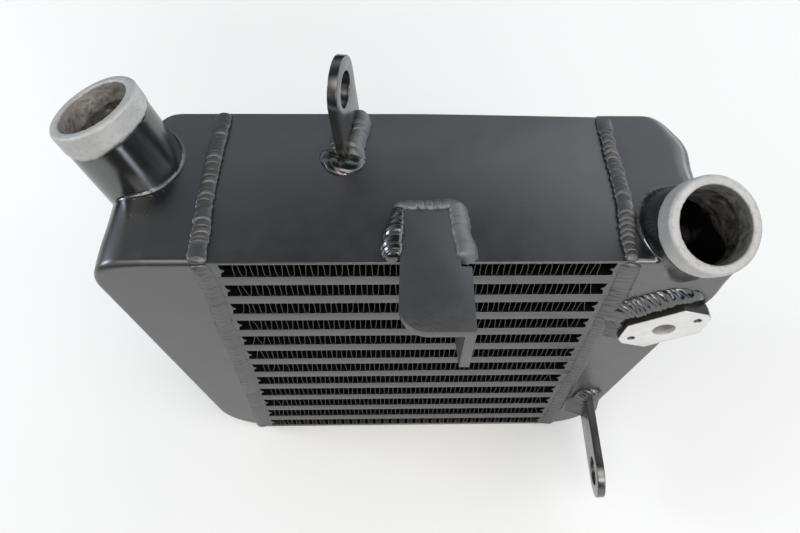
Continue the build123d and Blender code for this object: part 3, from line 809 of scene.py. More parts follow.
class Bead:
    """Stack of overlapping weld puddles laid along a path."""

    def __init__(self, seed):
        self.rng = np.random.default_rng(seed)

    def edges(self, length, pitch, spread):
        out = [-3 * pitch]
        while out[-1] < length + 4 * pitch:
            out.append(out[-1] + pitch * (1 + self.rng.uniform(-spread, spread)))
        return np.array(out)

    def drift(self, s, scale):
        knots = np.arange(-2, s.max() / scale + 4)
        vals = self.rng.uniform(-1, 1, len(knots))
        t = s / scale
        i = np.floor(t).astype(int)
        f = t - i
        f = f * f * (3 - 2 * f)
        return vals[i + 2] * (1 - f) + vals[i + 3] * f

    def make(self, path, side, up, profile, pitch=4.0, spread=0.20, amp=0.7, sag=1.0, width=None, height=None,
             ends=(1, 1), end_len=(3.0, 3.0), jitter=0.22, wander=0.25, skew=0.3, calm=(), sink=1.2, crest=0.7, fine=0.12):
        """profile: rows of (d, z) in mm from one toe to the other, or one such
        table per station; width and height scale it along the path; calm:
        stretches where the puddles have run together."""
        path, side, up = (np.asarray(a, float) for a in (path, side, up))
        seg = np.linalg.norm(np.diff(path, axis=0), axis=1)
        s = np.concatenate([[0], np.cumsum(seg)])
        L = s[-1]
        prof = np.asarray(profile, float)
        if prof.ndim == 2:
            prof = np.repeat(prof[None], len(s), 0)
        K = prof.shape[1]
        v = np.linspace(-1, 1, K)
        tan2 = np.gradient(prof, axis=1)
        tan2 /= np.maximum(np.linalg.norm(tan2, axis=2), 1e-6)[..., None]
        nrm2 = np.stack([-tan2[..., 1], tan2[..., 0]], -1)
        if nrm2[0, K // 2, 1] < 0:
            nrm2 = -nrm2
        half = (prof[:, -1, 0] - prof[:, 0, 0]) / 2
        middle = (prof[:, -1, 0] + prof[:, 0, 0]) / 2
        width = np.ones_like(s) if width is None else np.interp(s, *zip(*width))
        height = np.ones_like(s) if height is None else np.interp(s, *zip(*height))
        cuts = self.edges(L, pitch, spread)
        n_c = len(cuts)
        k_amp = self.rng.uniform(0.65, 1.3, n_c)
        k_w = self.rng.uniform(-1, 1, n_c)
        k_o = self.rng.uniform(-1, 1, n_c)
        k_sag = sag * self.rng.uniform(0.8, 1.15, n_c)
        k_skew = self.rng.uniform(-skew, skew, n_c)
        k_z = self.rng.uniform(-1, 1, n_c)
        amp_s = np.ones_like(s)
        for a, b, level in calm:
            inside = np.clip((s - a) / 1.5, 0, 1) * np.clip((b - s) / 1.5, 0, 1)
            amp_s = amp_s * (1 - inside * (1 - level))
        e0 = np.clip((s + 0.02) / end_len[0], 0, 1) if ends[0] else np.ones_like(s)
        e1 = np.clip((L - s + 0.02) / end_len[1], 0, 1) if ends[1] else np.ones_like(s)
        end = np.sqrt(np.clip(1 - (1 - e0) ** 2, 0, 1)) * np.sqrt(np.clip(1 - (1 - e1) ** 2, 0, 1))
        low_h = 1 + 0.06 * self.drift(s, 9.0) + 0.03 * self.drift(s, 3.0)
        low_d = wander * self.drift(s, 8.0)
        SS, VV = np.meshgrid(s, v, indexing="ij")
        across = np.clip((prof[:, :, 0] - middle[:, None]) / half[:, None], -1, 1)
        arc = 1 - np.sqrt(np.clip(1 - 0.94 * across**2, 0, 1))
        reach = np.abs(half * width)[:, None]
        idx = np.clip(np.searchsorted(cuts, SS) - 1, 0, n_c - 2)
        for _ in range(2):
            sp = SS - k_sag[idx] * reach * arc + k_skew[idx] * VV * reach * 0.5
            idx = np.clip(np.searchsorted(cuts, sp) - 1, 0, n_c - 2)
        f = np.clip((sp - cuts[idx]) / (cuts[idx + 1] - cuts[idx]), 0, 1)
        g = f**crest
        shape = (4 * g * (1 - g)) ** 0.8 - 0.66
        shape = shape + fine * np.sin(2 * np.pi * 3 * f) * g * (1 - f) * 2
        fade = np.clip(1.05 - np.abs(VV) ** 6, 0, 1)
        ripple = amp * amp_s[:, None] * k_amp[idx] * shape * fade
        soft = np.clip(np.minimum(f, 1 - f) * 5, 0, 1)
        wide = 1 + (0.045 * k_w[idx] + 0.085 * (4 * g * (1 - g) - 0.6)) * amp_s[:, None] * soft**0.5
        shift = jitter * k_o[idx] * amp_s[:, None] * soft
        lift = 1 + 0.07 * k_z[idx] * amp_s[:, None] * soft
        D = middle[:, None] + (prof[:, :, 0] - middle[:, None]) * (width[:, None] * wide * end[:, None]) + low_d[:, None] + shift
        Z = prof[:, :, 1] * (height * low_h * end)[:, None] * lift
        Z = Z + ripple * nrm2[:, :, 1] * end[:, None]
        D = D + ripple * nrm2[:, :, 0] * end[:, None]
        Z = Z + 0.012 * self.rng.normal(size=SS.shape) * fade
        pts = path[:, None, :] + side[:, None, :] * D[..., None] + up[:, None, :] * Z[..., None]
        under = []
        for j in (-1, 0):
            d = middle + (D[:, j] - middle) * 0.9
            z = np.minimum(Z[:, j], prof[:, j, 1]) - sink
            under.append(path + side * d[:, None] + up * z[:, None])
        ring = np.concatenate([pts, under[0][:, None], under[1][:, None]], 1)
        N, M = ring.shape[:2]
        verts = ring.reshape(-1, 3)
        i, j = np.meshgrid(np.arange(N - 1), np.arange(M), indexing="ij")
        k = (j + 1) % M
        quads = np.stack([i * M + j, i * M + k, (i + 1) * M + k, (i + 1) * M + j], -1).reshape(-1, 4)
        faces = quads.tolist()
        faces.append(list(range(M))[::-1])
        faces.append([(N - 1) * M + q for q in range(M)])
        return mm_all(verts), faces


def resample(points, step):
    p = np.asarray(points, float)
    seg = np.linalg.norm(np.diff(p, axis=0), axis=1)
    s = np.concatenate([[0], np.cumsum(seg)])
    n = max(3, int(s[-1] / step) + 1)
    t = np.linspace(0, s[-1], n)
    return np.stack([np.interp(t, s, p[:, i]) for i in range(p.shape[1])], 1)


def smooth_rows(a, n):
    if n < 2:
        return a
    pad = np.concatenate([np.repeat(a[:1], n, 0), a, np.repeat(a[-1:], n, 0)])
    ker = np.hanning(2 * n + 1)
    ker /= ker.sum()
    out = np.stack([np.convolve(pad[:, i], ker, "same") for i in range(a.shape[1])], 1)
    return out[n:-n]


def units(a):
    return a / np.maximum(np.linalg.norm(a, axis=1), 1e-9)[:, None]


def track(stations, step, soft=3):
    """Path with its side and up directions, from a few stations of
    (point, side, up)."""
    pts = np.array([st[0] for st in stations], float)
    rows = np.concatenate([pts, np.array([st[1] for st in stations], float), np.array([st[2] for st in stations], float)], 1)
    seg = np.linalg.norm(np.diff(pts, axis=0), axis=1)
    s = np.concatenate([[0], np.cumsum(np.maximum(seg, 1e-4))])
    t = np.linspace(0, s[-1], max(3, int(s[-1] / step) + 1))
    out = np.stack([np.interp(t, s, rows[:, i]) for i in range(9)], 1)
    out = smooth_rows(out, soft)
    path, side, up = out[:, :3], units(out[:, 3:6]), out[:, 6:]
    up = units(up - (up * side).sum(1)[:, None] * side)
    return path, side, up, t


def morph(table, t, count):
    """Sections for every station: table rows are (distance, control points)."""
    at = [row[0] for row in table]
    shapes = np.array([curve_through(row[1], count) for row in table])
    out = np.empty((len(t), count, 2))
    for k in range(count):
        for q in range(2):
            out[:, k, q] = np.interp(t, at, shapes[:, k, q])
    return smooth_rows(out.reshape(len(t), -1), 5).reshape(out.shape)


STEP = 0.28


def seam(side, seed):
    """The four beads of one tank joint."""
    if side < 0:
        top_x = [(-54, -109.3), (-50, -109.3), (-45, -109.9), (-37, -110.2), (-30, -109.6), (-20, -109.9), (-12, -110.0), (0, -109.3), (15, -108.6), (30, -107.2), (50, -106.1)]
        front_x = [(0, -106.3), (60, -106.0), (101, -106.2), (140, -106.8), (172, -107.6), (190, -107.0), (203, -106.6), (216, -107.6), (228, -108.8), (233, -109.2)]
    else:
        top_x = [(-54, 107.0), (-48, 106.9), (-40, 106.9), (-31, 108.0), (-21, 108.9), (-4, 109.2), (8, 108.4), (20, 107.4), (35, 107.6), (50, 107.2)]
        front_x = [(0, 106.6), (40, 107.2), (80, 108.0), (99, 108.4), (122, 108.3), (150, 107.9), (187, 108.2), (198, 108.8), (210, 108.6), (222, 107.6), (233, 107.0)]
    parts = []

    def line(points, outward, table, axis, step=STEP, **kw):
        p = resample(points, step)
        p[:, 0] = np.interp(p[:, axis], *zip(*table))
        p = smooth_rows(p, 9)
        side_dir = np.tile([1.0, 0, 0], (len(p), 1))
        o = np.asarray(outward(p), float)
        parts.append(Bead(seed + len(parts)).make(p, side_dir, o, **kw))

    r = 2.2
    yb = rear(side * XJ)
    arc = [(0, yb - 0.9 - r + r * math.cos(a), ZT - r + r * math.sin(a)) for a in np.linspace(-0.2, math.pi / 2, 9)]
    front_arc = [(0, -YF + r - r * math.sin(a), ZT - r + r * math.cos(a)) for a in np.linspace(0, 1.15, 9)]

    def top_out(p):
        o = np.zeros_like(p)
        ang = np.arcsin(np.clip((np.abs(p[:, 1]) - (YF - r)) / r, 0, 1))
        o[:, 1] = np.sign(p[:, 1]) * np.sin(ang)
        o[:, 2] = np.cos(ang)
        return o

    if side < 0:
        kw = dict(profile=rope(4.35, 2.6, tuck=0.42, right=0.06), pitch=4.05, amp=1.0, sag=0.95, crest=0.55, fine=0.05, jitter=0.3,
                  calm=[(1.0, 5.5, 0.3), (66.0, 74.0, 0.10), (88, 100, 0.45)],
                  width=[(0, 0.98), (60, 0.98), (80, 1.05), (92, 1.1), (104, 1.22), (112, 1.2)],
                  height=[(0, 1.0), (64, 1.0), (70, 1.15), (78, 1.0), (92, 1.05), (112, 1.1)])
    else:
        kw = dict(profile=rope(4.1, 2.6, tuck=0.40, right=0.10), pitch=3.95, amp=1.1, sag=0.95, crest=0.55, fine=0.05, jitter=0.3,
                  calm=[(0.0, 11.0, 0.12), (60.0, 68.0, 0.15)],
                  width=[(0, 1.1), (10, 1.05), (14, 0.88), (20, 0.86), (40, 1.02), (62, 1.05), (70, 1.12), (84, 0.95), (92, 0.82), (100, 0.85), (112, 1.0)],
                  height=[(0, 0.45), (10, 0.6), (15, 0.95), (60, 1.0), (66, 1.25), (74, 1.05), (112, 0.9)])
    line(arc + front_arc, top_out, top_x, 1, ends=(1, 1), end_len=(2.0, 2.4), **kw)
    back_cap = (yb + 1.80 + 32.3) * 1e-3
    parts[0][0][:, 1] = np.where(parts[0][0][:, 1] > back_cap, back_cap + 0.05 * (parts[0][0][:, 1] - back_cap), parts[0][0][:, 1])
    z_lo, z_hi = Z0 + 1.2, ZT - 1.0
    out_front = lambda p: np.tile([0, -1.0, 0], (len(p), 1))
    if side < 0:
        line([(0, -YF, z_lo), (0, -YF, z_hi)], out_front, front_x, 2, profile=swell(4.9, 1.9, lean=-0.45), pitch=4.3, amp=0.52, sag=0.95,
             calm=[(2, 30, 0.6), (66, 80, 0.3)], fine=0.2, end_len=(4, 3), crest=0.55)
        extra = []
    else:
        line([(0, -YF, z_hi), (0, -YF, z_lo)], out_front, front_x, 2, profile=swell(4.8, 1.9, lean=0.3), pitch=3.5, amp=0.42, sag=0.35, crest=0.6,
             calm=[(0, 26, 0.6), (34, 60, 0.9), (64, 120, 0.55)], fine=0.2, end_len=(4, 4), skew=0.5,
             width=[(0, 1.15), (34, 1.15), (60, 0.95), (90, 0.86), (130, 0.86), (170, 1.0), (230, 1.05)])
    back_x = [(0, side * 106.4), (240, side * 106.6)]
    line([(0, yb, ZT - 1.0), (0, yb, Z0 + 1.0)], lambda p: np.tile([0, 1.0, 0], (len(p), 1)), back_x, 2, step=STEP * 1.5,
         profile=rope(4.3, 1.22, count=21, tuck=0.1), pitch=4.2, amp=0.24, sag=0.8)
    under_x = [(-60, side * 106.3), (60, side * 106.5)]
    line([(0, YF - 1.0, Z0), (0, -YF + 1.0, Z0)], lambda p: np.tile([0, 0, -1.0], (len(p), 1)), under_x, 1, step=STEP * 1.8,
         profile=rope(4.2, 1.25, count=17, tuck=0.1), pitch=4.2, amp=0.25, sag=0.7)
    return parts


def put_bead(name, parts, material, nodes=()):
    ob = place(name, *join(parts), material, "black_powder_coat", nodes)
    fix_normals(ob.data)
    return ob


for side, name, seed in ((-1, "left", 21), (1, "right", 47)):
    beads = seam(side, seed)
    put_bead(f"{name}_seam_bead", beads[:1], bead_paint, [f"{name}_tank_weld"])
    put_bead(f"{name}_seam_faces", beads[1:], seam_paint)


# round the foot of the upright lug
def lug_frame(along, across):
    """Point on the plate top in the lug's own axes: along it and out of its
    near face."""
    n = np.array([top_normal[0], top_normal[1], 0.0])
    return top_origin + top_along * along + unit(n) * across


LN = unit((top_normal[0], top_normal[1], 0.0))
LA = top_along
UP = np.array([0, 0, 1.0])
stations = [
    (lug_frame(35.6, -5.2), -LN, UP), (lug_frame(6.0, -5.2), -LN, UP), (lug_frame(1.4, -5.2), -LN, UP),
    (lug_frame(0.2, -4.4), unit(-LN - LA), UP), (lug_frame(0.0, -2.6), -LA, UP), (lug_frame(0.2, -0.8), unit(LN - LA), UP),
    (lug_frame(1.4, 0.0), LN, UP), (lug_frame(6.0, 0.0), LN, UP), (lug_frame(35.9, 0.0), LN, UP),
]
path, side_d, up_d, t = track(stations, STEP, 7)
L0 = t[-1]
fat = [(-0.8, 6.2), (1.4, 6.2), (4.2, 5.0), (6.4, 2.9), (7.8, 0.9), (8.0, -0.4)]
front = [(-0.8, 1.5), (1.2, 2.5), (4.2, 2.9), (7.4, 2.1), (9.6, 0.7), (9.9, -0.4)]
far = [(-0.8, 5.6), (1.2, 5.4), (3.6, 4.2), (5.6, 2.2), (6.6, 0.8), (6.7, -0.4)]
rear = [(-0.8, 6.0), (1.0, 6.2), (3.2, 5.0), (4.8, 3.0), (5.6, 1.0), (5.7, -0.4)]
sec = morph([(0.0, far), (28.0, far), (34.0, front), (42.0, front), (48.0, fat), (L0 - 8, fat), (L0 - 1.0, rear), (L0, rear)], t, 27)
cut_a, cut_b = np.searchsorted(t, 27.0), np.searchsorted(t, 44.5)
put_bead("lug_foot_bead", [
    Bead(5).make(path[cut_b - 14 :][::-1], side_d[cut_b - 14 :][::-1], up_d[cut_b - 14 :][::-1], sec[cut_b - 14 :][::-1], pitch=4.3, amp=0.45, sag=0.55, end_len=(4.5, 2.0), fine=0.1, sink=0.5),
    Bead(6).make(path[: cut_a + 10], side_d[: cut_a + 10], up_d[: cut_a + 10], sec[: cut_a + 10], pitch=4.2, amp=0.55, sag=0.55, end_len=(3.0, 2.0), sink=0.5),
], seam_paint, ["top_bracket_weld"])
put_bead("lug_foot_toe", [
    Bead(7).make(path[cut_a:cut_b], side_d[cut_a:cut_b], up_d[cut_a:cut_b], sec[cut_a:cut_b], pitch=3.8, amp=0.7, sag=0.5, end_len=(2.0, 3.0), jitter=0.5, fine=0.15, sink=0.5, skew=0.6),
], bead_gloss)

# round the root of the forward lug
face = low_origin
down = low_across if low_across[2] < 0 else -low_across
top_of = face if low_across[2] < 0 else face + low_across * 2 * LUG_R
NF = np.array([0, -1.0, 0])
away = unit(np.array([low_normal[0], 0, low_normal[2]]))
P = lambda a, b: top_of + down * a + away * b
stations = [
    (P(33.0, -5.2), -away, NF), (P(4.0, -5.2), -away, NF), (P(0.6, -5.0), unit(-away - down), NF), (P(0.0, -2.6), -down, NF),
    (P(0.6, -0.2), unit(away - down), NF), (P(4.0, 0.0), away, NF), (P(20.0, 0.0), away, NF), (P(35.5, 0.0), away, NF),
]
path, side_d, up_d, t = track(stations, STEP, 7)
broad = [(-0.6, 4.2), (1.6, 3.9), (4.8, 2.7), (8.0, 1.4), (11.0, 0.3), (12.0, -0.3)]
slim = [(-0.6, 4.2), (1.2, 4.0), (3.0, 3.0), (4.8, 1.8), (6.0, 0.6), (6.2, -0.8)]
head = [(-0.6, 4.6), (1.4, 4.8), (3.8, 4.2), (6.2, 2.6), (7.4, 1.0), (7.6, -0.8)]
L0 = t[-1]
sec = morph([(0, slim), (26, slim), (32, head), (40, head), (46, broad), (L0 - 6, broad), (L0, slim)], t, 25)
a, b = np.searchsorted(t, 27.0), np.searchsorted(t, 41.5)
put_bead("lug_root_bead", [
    Bead(15).make(path[b - 12 :], side_d[b - 12 :], up_d[b - 12 :], sec[b - 12 :], pitch=3.2, amp=0.5, sag=0.35, end_len=(2.0, 4.5), fine=0.3, skew=0.5),
    Bead(16).make(path[: a + 8][::-1], side_d[: a + 8][::-1], up_d[: a + 8][::-1], sec[: a + 8][::-1], pitch=3.6, amp=0.45, sag=0.5, end_len=(2.0, 3.0)),
], seam_paint, ["lower_bracket_weld"])
put_bead("lug_root_crown", [
    Bead(17).make(path[a:b], side_d[a:b], up_d[a:b], sec[a:b], pitch=3.0, amp=0.8, sag=0.5, end_len=(2.0, 2.0), jitter=0.5, fine=0.5, skew=0.8),
], bead_gloss)

# along the three edges of the angle bracket
E = lambda x, y: np.array([x, y, ZT])
lx = unit((-1.0, 0.04, 0))
stations_left = [(E(0.5, -18.0), (0, 1.0, 0), UP), (E(-6.6, -18.0), (0, 1.0, 0), UP), (E(-8.0, -18.9), unit((-0.8, 0.8, 0)), UP), (E(-8.3, -21.0), lx, UP), (E(-9.5, -50.6), lx, UP)]
stations_rest = [(E(-9.0, -21.0), unit((-0.9, 0.6, 0)), UP), (E(-7.6, -18.4), unit((-0.5, 1.0, 0)), UP), (E(-5.0, -18.0), (0, 1.0, 0), UP), (E(16.0, -18.0), (0, 1.0, 0), UP), (E(18.2, -18.9), unit((0.8, 0.8, 0)), UP), (E(18.8, -21.5), (1.0, 0.05, 0), UP), (E(20.1, -51.2), (1.0, 0.05, 0), UP)]
lap = [(-2.9, 4.9), (-2.3, 6.0), (-0.8, 6.7), (1.8, 5.9), (4.2, 3.7), (5.9, 1.0), (6.2, -0.4)]
wide_l = [(-1.6, 4.9), (-0.9, 6.2), (1.0, 7.3), (4.6, 6.6), (7.8, 4.3), (9.6, 1.2), (9.9, -0.4)]
tip_l = [(-0.8, 4.6), (0.0, 5.6), (1.6, 6.2), (4.0, 5.4), (6.2, 3.4), (7.4, 1.0), (7.6, -0.4)]
path, side_d, up_d, t = track(stations_left, STEP, 7)
L0 = t[-1]
start = [(-1.2, 4.8), (-0.8, 5.6), (0.4, 6.0), (2.4, 5.2), (4.4, 3.2), (5.6, 1.0), (5.8, -0.4)]
sec = morph([(0, start), (8, start), (13, start), (22, wide_l), (L0 - 6, wide_l), (L0, tip_l)], t, 29)
put_bead("bracket_bead_left", [
    Bead(25).make(path[30:], side_d[30:], up_d[30:], sec[30:], pitch=5.2, amp=0.95, sag=0.55, end_len=(3.0, 2.4), fine=0.12, jitter=0.4, skew=0.4, calm=[(24, 40, 0.45)], sink=0.5),
], bead_gloss, ["front_bracket_weld"])
path, side_d, up_d, t = track(stations_rest, STEP, 7)
L0 = t[-1]
wide_r = [(-1.8, 4.9), (-1.1, 6.0), (0.8, 6.9), (4.2, 6.2), (7.6, 4.0), (9.6, 1.1), (9.9, -0.4)]
mid_r = [(-2.6, 4.9), (-2.0, 6.0), (-0.4, 6.8), (2.6, 6.2), (5.4, 4.2), (7.6, 1.1), (7.8, -0.4)]
sec = morph([(0, lap), (24, lap), (30, mid_r), (44, mid_r), (52, wide_r), (L0 - 3, wide_r), (L0, mid_r)], t, 29)
# this bead is lifted to pale grey by painted sheen
put_bead("bracket_bead_right", [
    Bead(26).make(path, side_d, up_d, sec, pitch=4.6, amp=0.5, sag=0.4, end_len=(2.5, 2.6), fine=0.2, jitter=0.35, calm=[(40, 66, 0.3)], sink=0.5),
], sheen_tinted_paint)

# round the sensor flange
pad = np.array([140.9, -YF, ZT - 60.4])
fx, fy = flange_x, np.cross((0, -1.0, 0), flange_x)
Q = lambda u, v, d=0.0: pad + fx * u + fy * v + np.array([0, -1.0, 0]) * d
edge_n = unit(np.array([1.0, -0.35, 0.2]))
stations = [
    (Q(-25.4, -6.0), -fx, NF), (Q(-25.4, 2.4), unit(-fx + 0.2 * fy), NF), (Q(-23.0, 6.4), unit(-fx * 0.8 + fy * 0.62), NF), (Q(-17.4, 13.6), unit(-fx * 0.8 + fy * 0.66), NF),
    (Q(-14.6, 15.4), unit(fy * 1.0 - fx * 0.15), NF), (Q(-8.0, 15.5), fy, NF), (Q(6.0, 15.5, -0.2), fy, NF), (Q(13.0, 15.2, -0.4), unit(fy + fx * 0.15), unit(NF + 0.15 * fx)),
    (Q(18.0, 12.8, -1.0), unit(fy + fx * 0.5), unit(NF + 0.45 * np.array([1.0, 0, 0]))), (Q(21.5, 8.4, -2.6), unit(fy * 0.6 + fx), unit(NF * 0.6 + np.array([1.0, 0, 0]))),
    (Q(22.6, 3.0, -4.6), unit(fx + fy * 0.1), unit(NF * 0.3 + np.array([1.0, 0, 0]))),
]
path, side_d, up_d, t = track(stations, STEP, 9)
L0 = t[-1]
roof = [(-0.6, 3.9), (1.6, 4.8), (5.6, 4.9), (10.2, 3.6), (14.4, 1.5), (16.2, -0.6)]
cheek = [(-0.6, 3.6), (0.8, 4.0), (3.2, 3.5), (6.4, 2.0), (9.2, 0.6), (10.4, -0.3)]
brow = [(-0.6, 3.9), (1.2, 4.6), (4.6, 4.5), (8.4, 3.1), (11.6, 1.2), (12.8, -0.6)]
sec = morph([(0, cheek), (12, cheek), (20, brow), (28, roof), (L0 - 20, roof), (L0 - 11, brow), (L0 - 4, cheek), (L0, cheek)], t, 31)
a = np.searchsorted(t, 19.0)
put_bead("flange_bead", [
    Bead(35).make(path[a:][::-1], side_d[a:][::-1], up_d[a:][::-1], sec[a:][::-1], pitch=2.85, amp=0.62, sag=0.55, end_len=(3.0, 2.2), fine=0.1, jitter=0.2, crest=0.6, sink=1.4),
], flange_gloss, ["sensor_flange_weld"])
put_bead("flange_bead_cheek", [
    Bead(36).make(path[: a + 12][::-1], side_d[: a + 12][::-1], up_d[: a + 12][::-1], sec[: a + 12][::-1], pitch=2.9, amp=0.5, sag=0.55, end_len=(2.2, 4.0), fine=0.15, crest=0.7, sink=1.4),
], bead_paint)
# lower side, hidden from above
stations = [(Q(-25.4, -6.0), -fx, NF), (Q(-17.0, -14.6), unit(-fx - fy), NF), (Q(-13.0, -15.5), -fy, NF), (Q(8.0, -15.5), -fy, NF), (Q(12.0, -15.2), unit(-fy + 0.2 * fx), NF)]
path, side_d, up_d, t = track(stations, STEP * 1.5, 5)
low_s = morph([(0, [(-0.5, 3.0), (1.0, 3.2), (3.0, 2.4), (4.8, 0.8), (5.0, -0.6)]), (t[-1], [(-0.5, 3.0), (1.0, 3.2), (3.0, 2.4), (4.8, 0.8), (5.0, -0.6)])], t, 19)
put_bead("flange_bead_low", [Bead(37).make(path, side_d, up_d, low_s, pitch=3.0, amp=0.4, sag=0.6)], bead_paint)


# ------------------------------------------------------------------- tanks
def round_max(a, b, r):
    """Intersection of two distances with its edge rounded to radius r."""
    return np.minimum(-r, np.maximum(a, b)) + np.hypot(np.maximum(a + r, 0), np.maximum(b + r, 0))


def round_min(a, b, r):
    """Union of two distances with its crotch filleted to radius r."""
    return np.maximum(r, np.minimum(a, b)) - np.hypot(np.maximum(r - a, 0), np.maximum(r - b, 0))


def ease(v, a, b):
    t = np.clip((v - a) / (b - a), 0, 1)
    return t * t * (3 - 2 * t)


def hash_noise(p, scale, seed):
    """Smooth value noise on points, -1..1."""
    q = p / scale
    i = np.floor(q).astype(np.int64)
    f = q - i
    f = f * f * (3 - 2 * f)

    def corner(dx, dy, dz):
        n = (i[:, 0] + dx) * 374761393 + (i[:, 1] + dy) * 668265263 + (i[:, 2] + dz) * 2147483647 + seed * 974634777
        n = (n ^ (n >> 13)) * 1274126177
        n = n ^ (n >> 16)
        return (n & 0xFFFF) / 32767.5 - 1.0

    out = 0.0
    for dx in (0, 1):
        for dy in (0, 1):
            for dz in (0, 1):
                w = (f[:, 0] if dx else 1 - f[:, 0]) * (f[:, 1] if dy else 1 - f[:, 1]) * (f[:, 2] if dz else 1 - f[:, 2])
                out = out + w * corner(dx, dy, dz)
    return out


class Tank:
    """Cast end tank: plan is the end wall's place along Y, as (y, how far it
    lies inside the front edge), crown the radius between top and end wall."""

    def __init__(self, side, mouth, axis, reach, drop, heel, plan, crown, edge, back, crotch, bore):
        self.side, self.reach, self.drop, self.heel, self.plan = side, reach, drop, heel, plan
        self.crown, self.edge, self.back = crown, edge, back
        self.mouth, self.axis = np.array(mouth, float), unit(axis)
        self.crotch, self.bore = crotch, bore

    def inward(self, y):
        k = np.arange(-56.0, 60.0, 0.5)
        v = np.interp(k, *zip(*self.plan))
        ker = np.hanning(33)
        v = np.convolve(np.pad(v, 16, mode="edge"), ker / ker.sum(), "valid")
        return np.interp(y, k, v)

    def body(self, p, inset=0.0):
        x, y, z = p[:, 0] * self.side, p[:, 1], p[:, 2]
        a = z - ZT + inset
        if self.side < 0:
            a = a + 2.8 * np.clip((x - 138.0) / 28.0, 0, 1) * np.clip((-28.0 - y) / 22.0, 0, 1) ** 2
        b = Z0 - z + inset
        swell = 2.6 * np.exp(-(((z - 193.0) / 14.0) ** 2)) * (1 - ease(y, -40.0, -10.0)) if self.side > 0 else 0.0
        c = (x - self.reach - swell + self.drop * (ZT - z) + self.inward(y)) / math.sqrt(1 + self.drop**2 + 0.01) + inset
        d = y - self.back[0] + inset
        e = -YF - y + inset
        crown = np.interp(y, *zip(*self.crown))
        plain, turn = self.back[1], self.back[2]
        wall = round_max(c, d, turn - inset)
        end = ease(c - d, -1.1 * turn, 0.2 * turn)
        shell = round_max(wall, a, np.maximum(plain + (crown - plain) * end - inset, 0.8))
        shell = round_max(shell, b, np.maximum(plain + (self.heel - plain) * end - inset, 0.8))
        shell = round_max(shell, e, max(self.edge - inset, 0.6))
        return shell

    def along(self, p):
        o = p - self.mouth
        s = o @ self.axis
        return s, np.linalg.norm(o - s[:, None] * self.axis, axis=1), o

    def __call__(self, p):
        x = p[:, 0] * self.side
        body = self.body(p)
        s, r, o = self.along(p)
        swell = 24.35 + 0.65 * ease(s, -14.0, -11.0)
        swell = swell + 0.10 * hash_noise(p, 9.0, 3) * ease(s, -16.0, -12.0)
        pipe = round_max(r - swell, s, 2.0)
        pipe = np.maximum(pipe, -s - 80.0)
        blend = self.crotch[0] + (self.crotch[1] - self.crotch[0]) * ease(o[:, 1], -16.0, 14.0)
        out = round_min(body, pipe, blend)
        # hollow: bore with a rough cast wall, and the chamber under it
        rough = 0.16 * hash_noise(p, 1.9, 5) + 0.22 * hash_noise(p, 4.2, 6)
        hole = np.maximum(r - self.bore - rough * ease(-s, 1.0, 5.0), s - 6.0)
        hole = np.maximum(hole, -s - 74.0)
        inner = np.maximum(self.body(p, 4.5), 110.0 - x)
        inner = np.maximum(inner, (ZT - 75.0) - p[:, 2])
        hole = round_min(hole, inner, 3.0)
        out = round_max(out, -hole, 0.9)
        # cast skin
        out = out + 0.05 * hash_noise(p, 16.0, 8)
        # undercut beside the seam
        return np.maximum(out, (XJ - 1.6) - x)


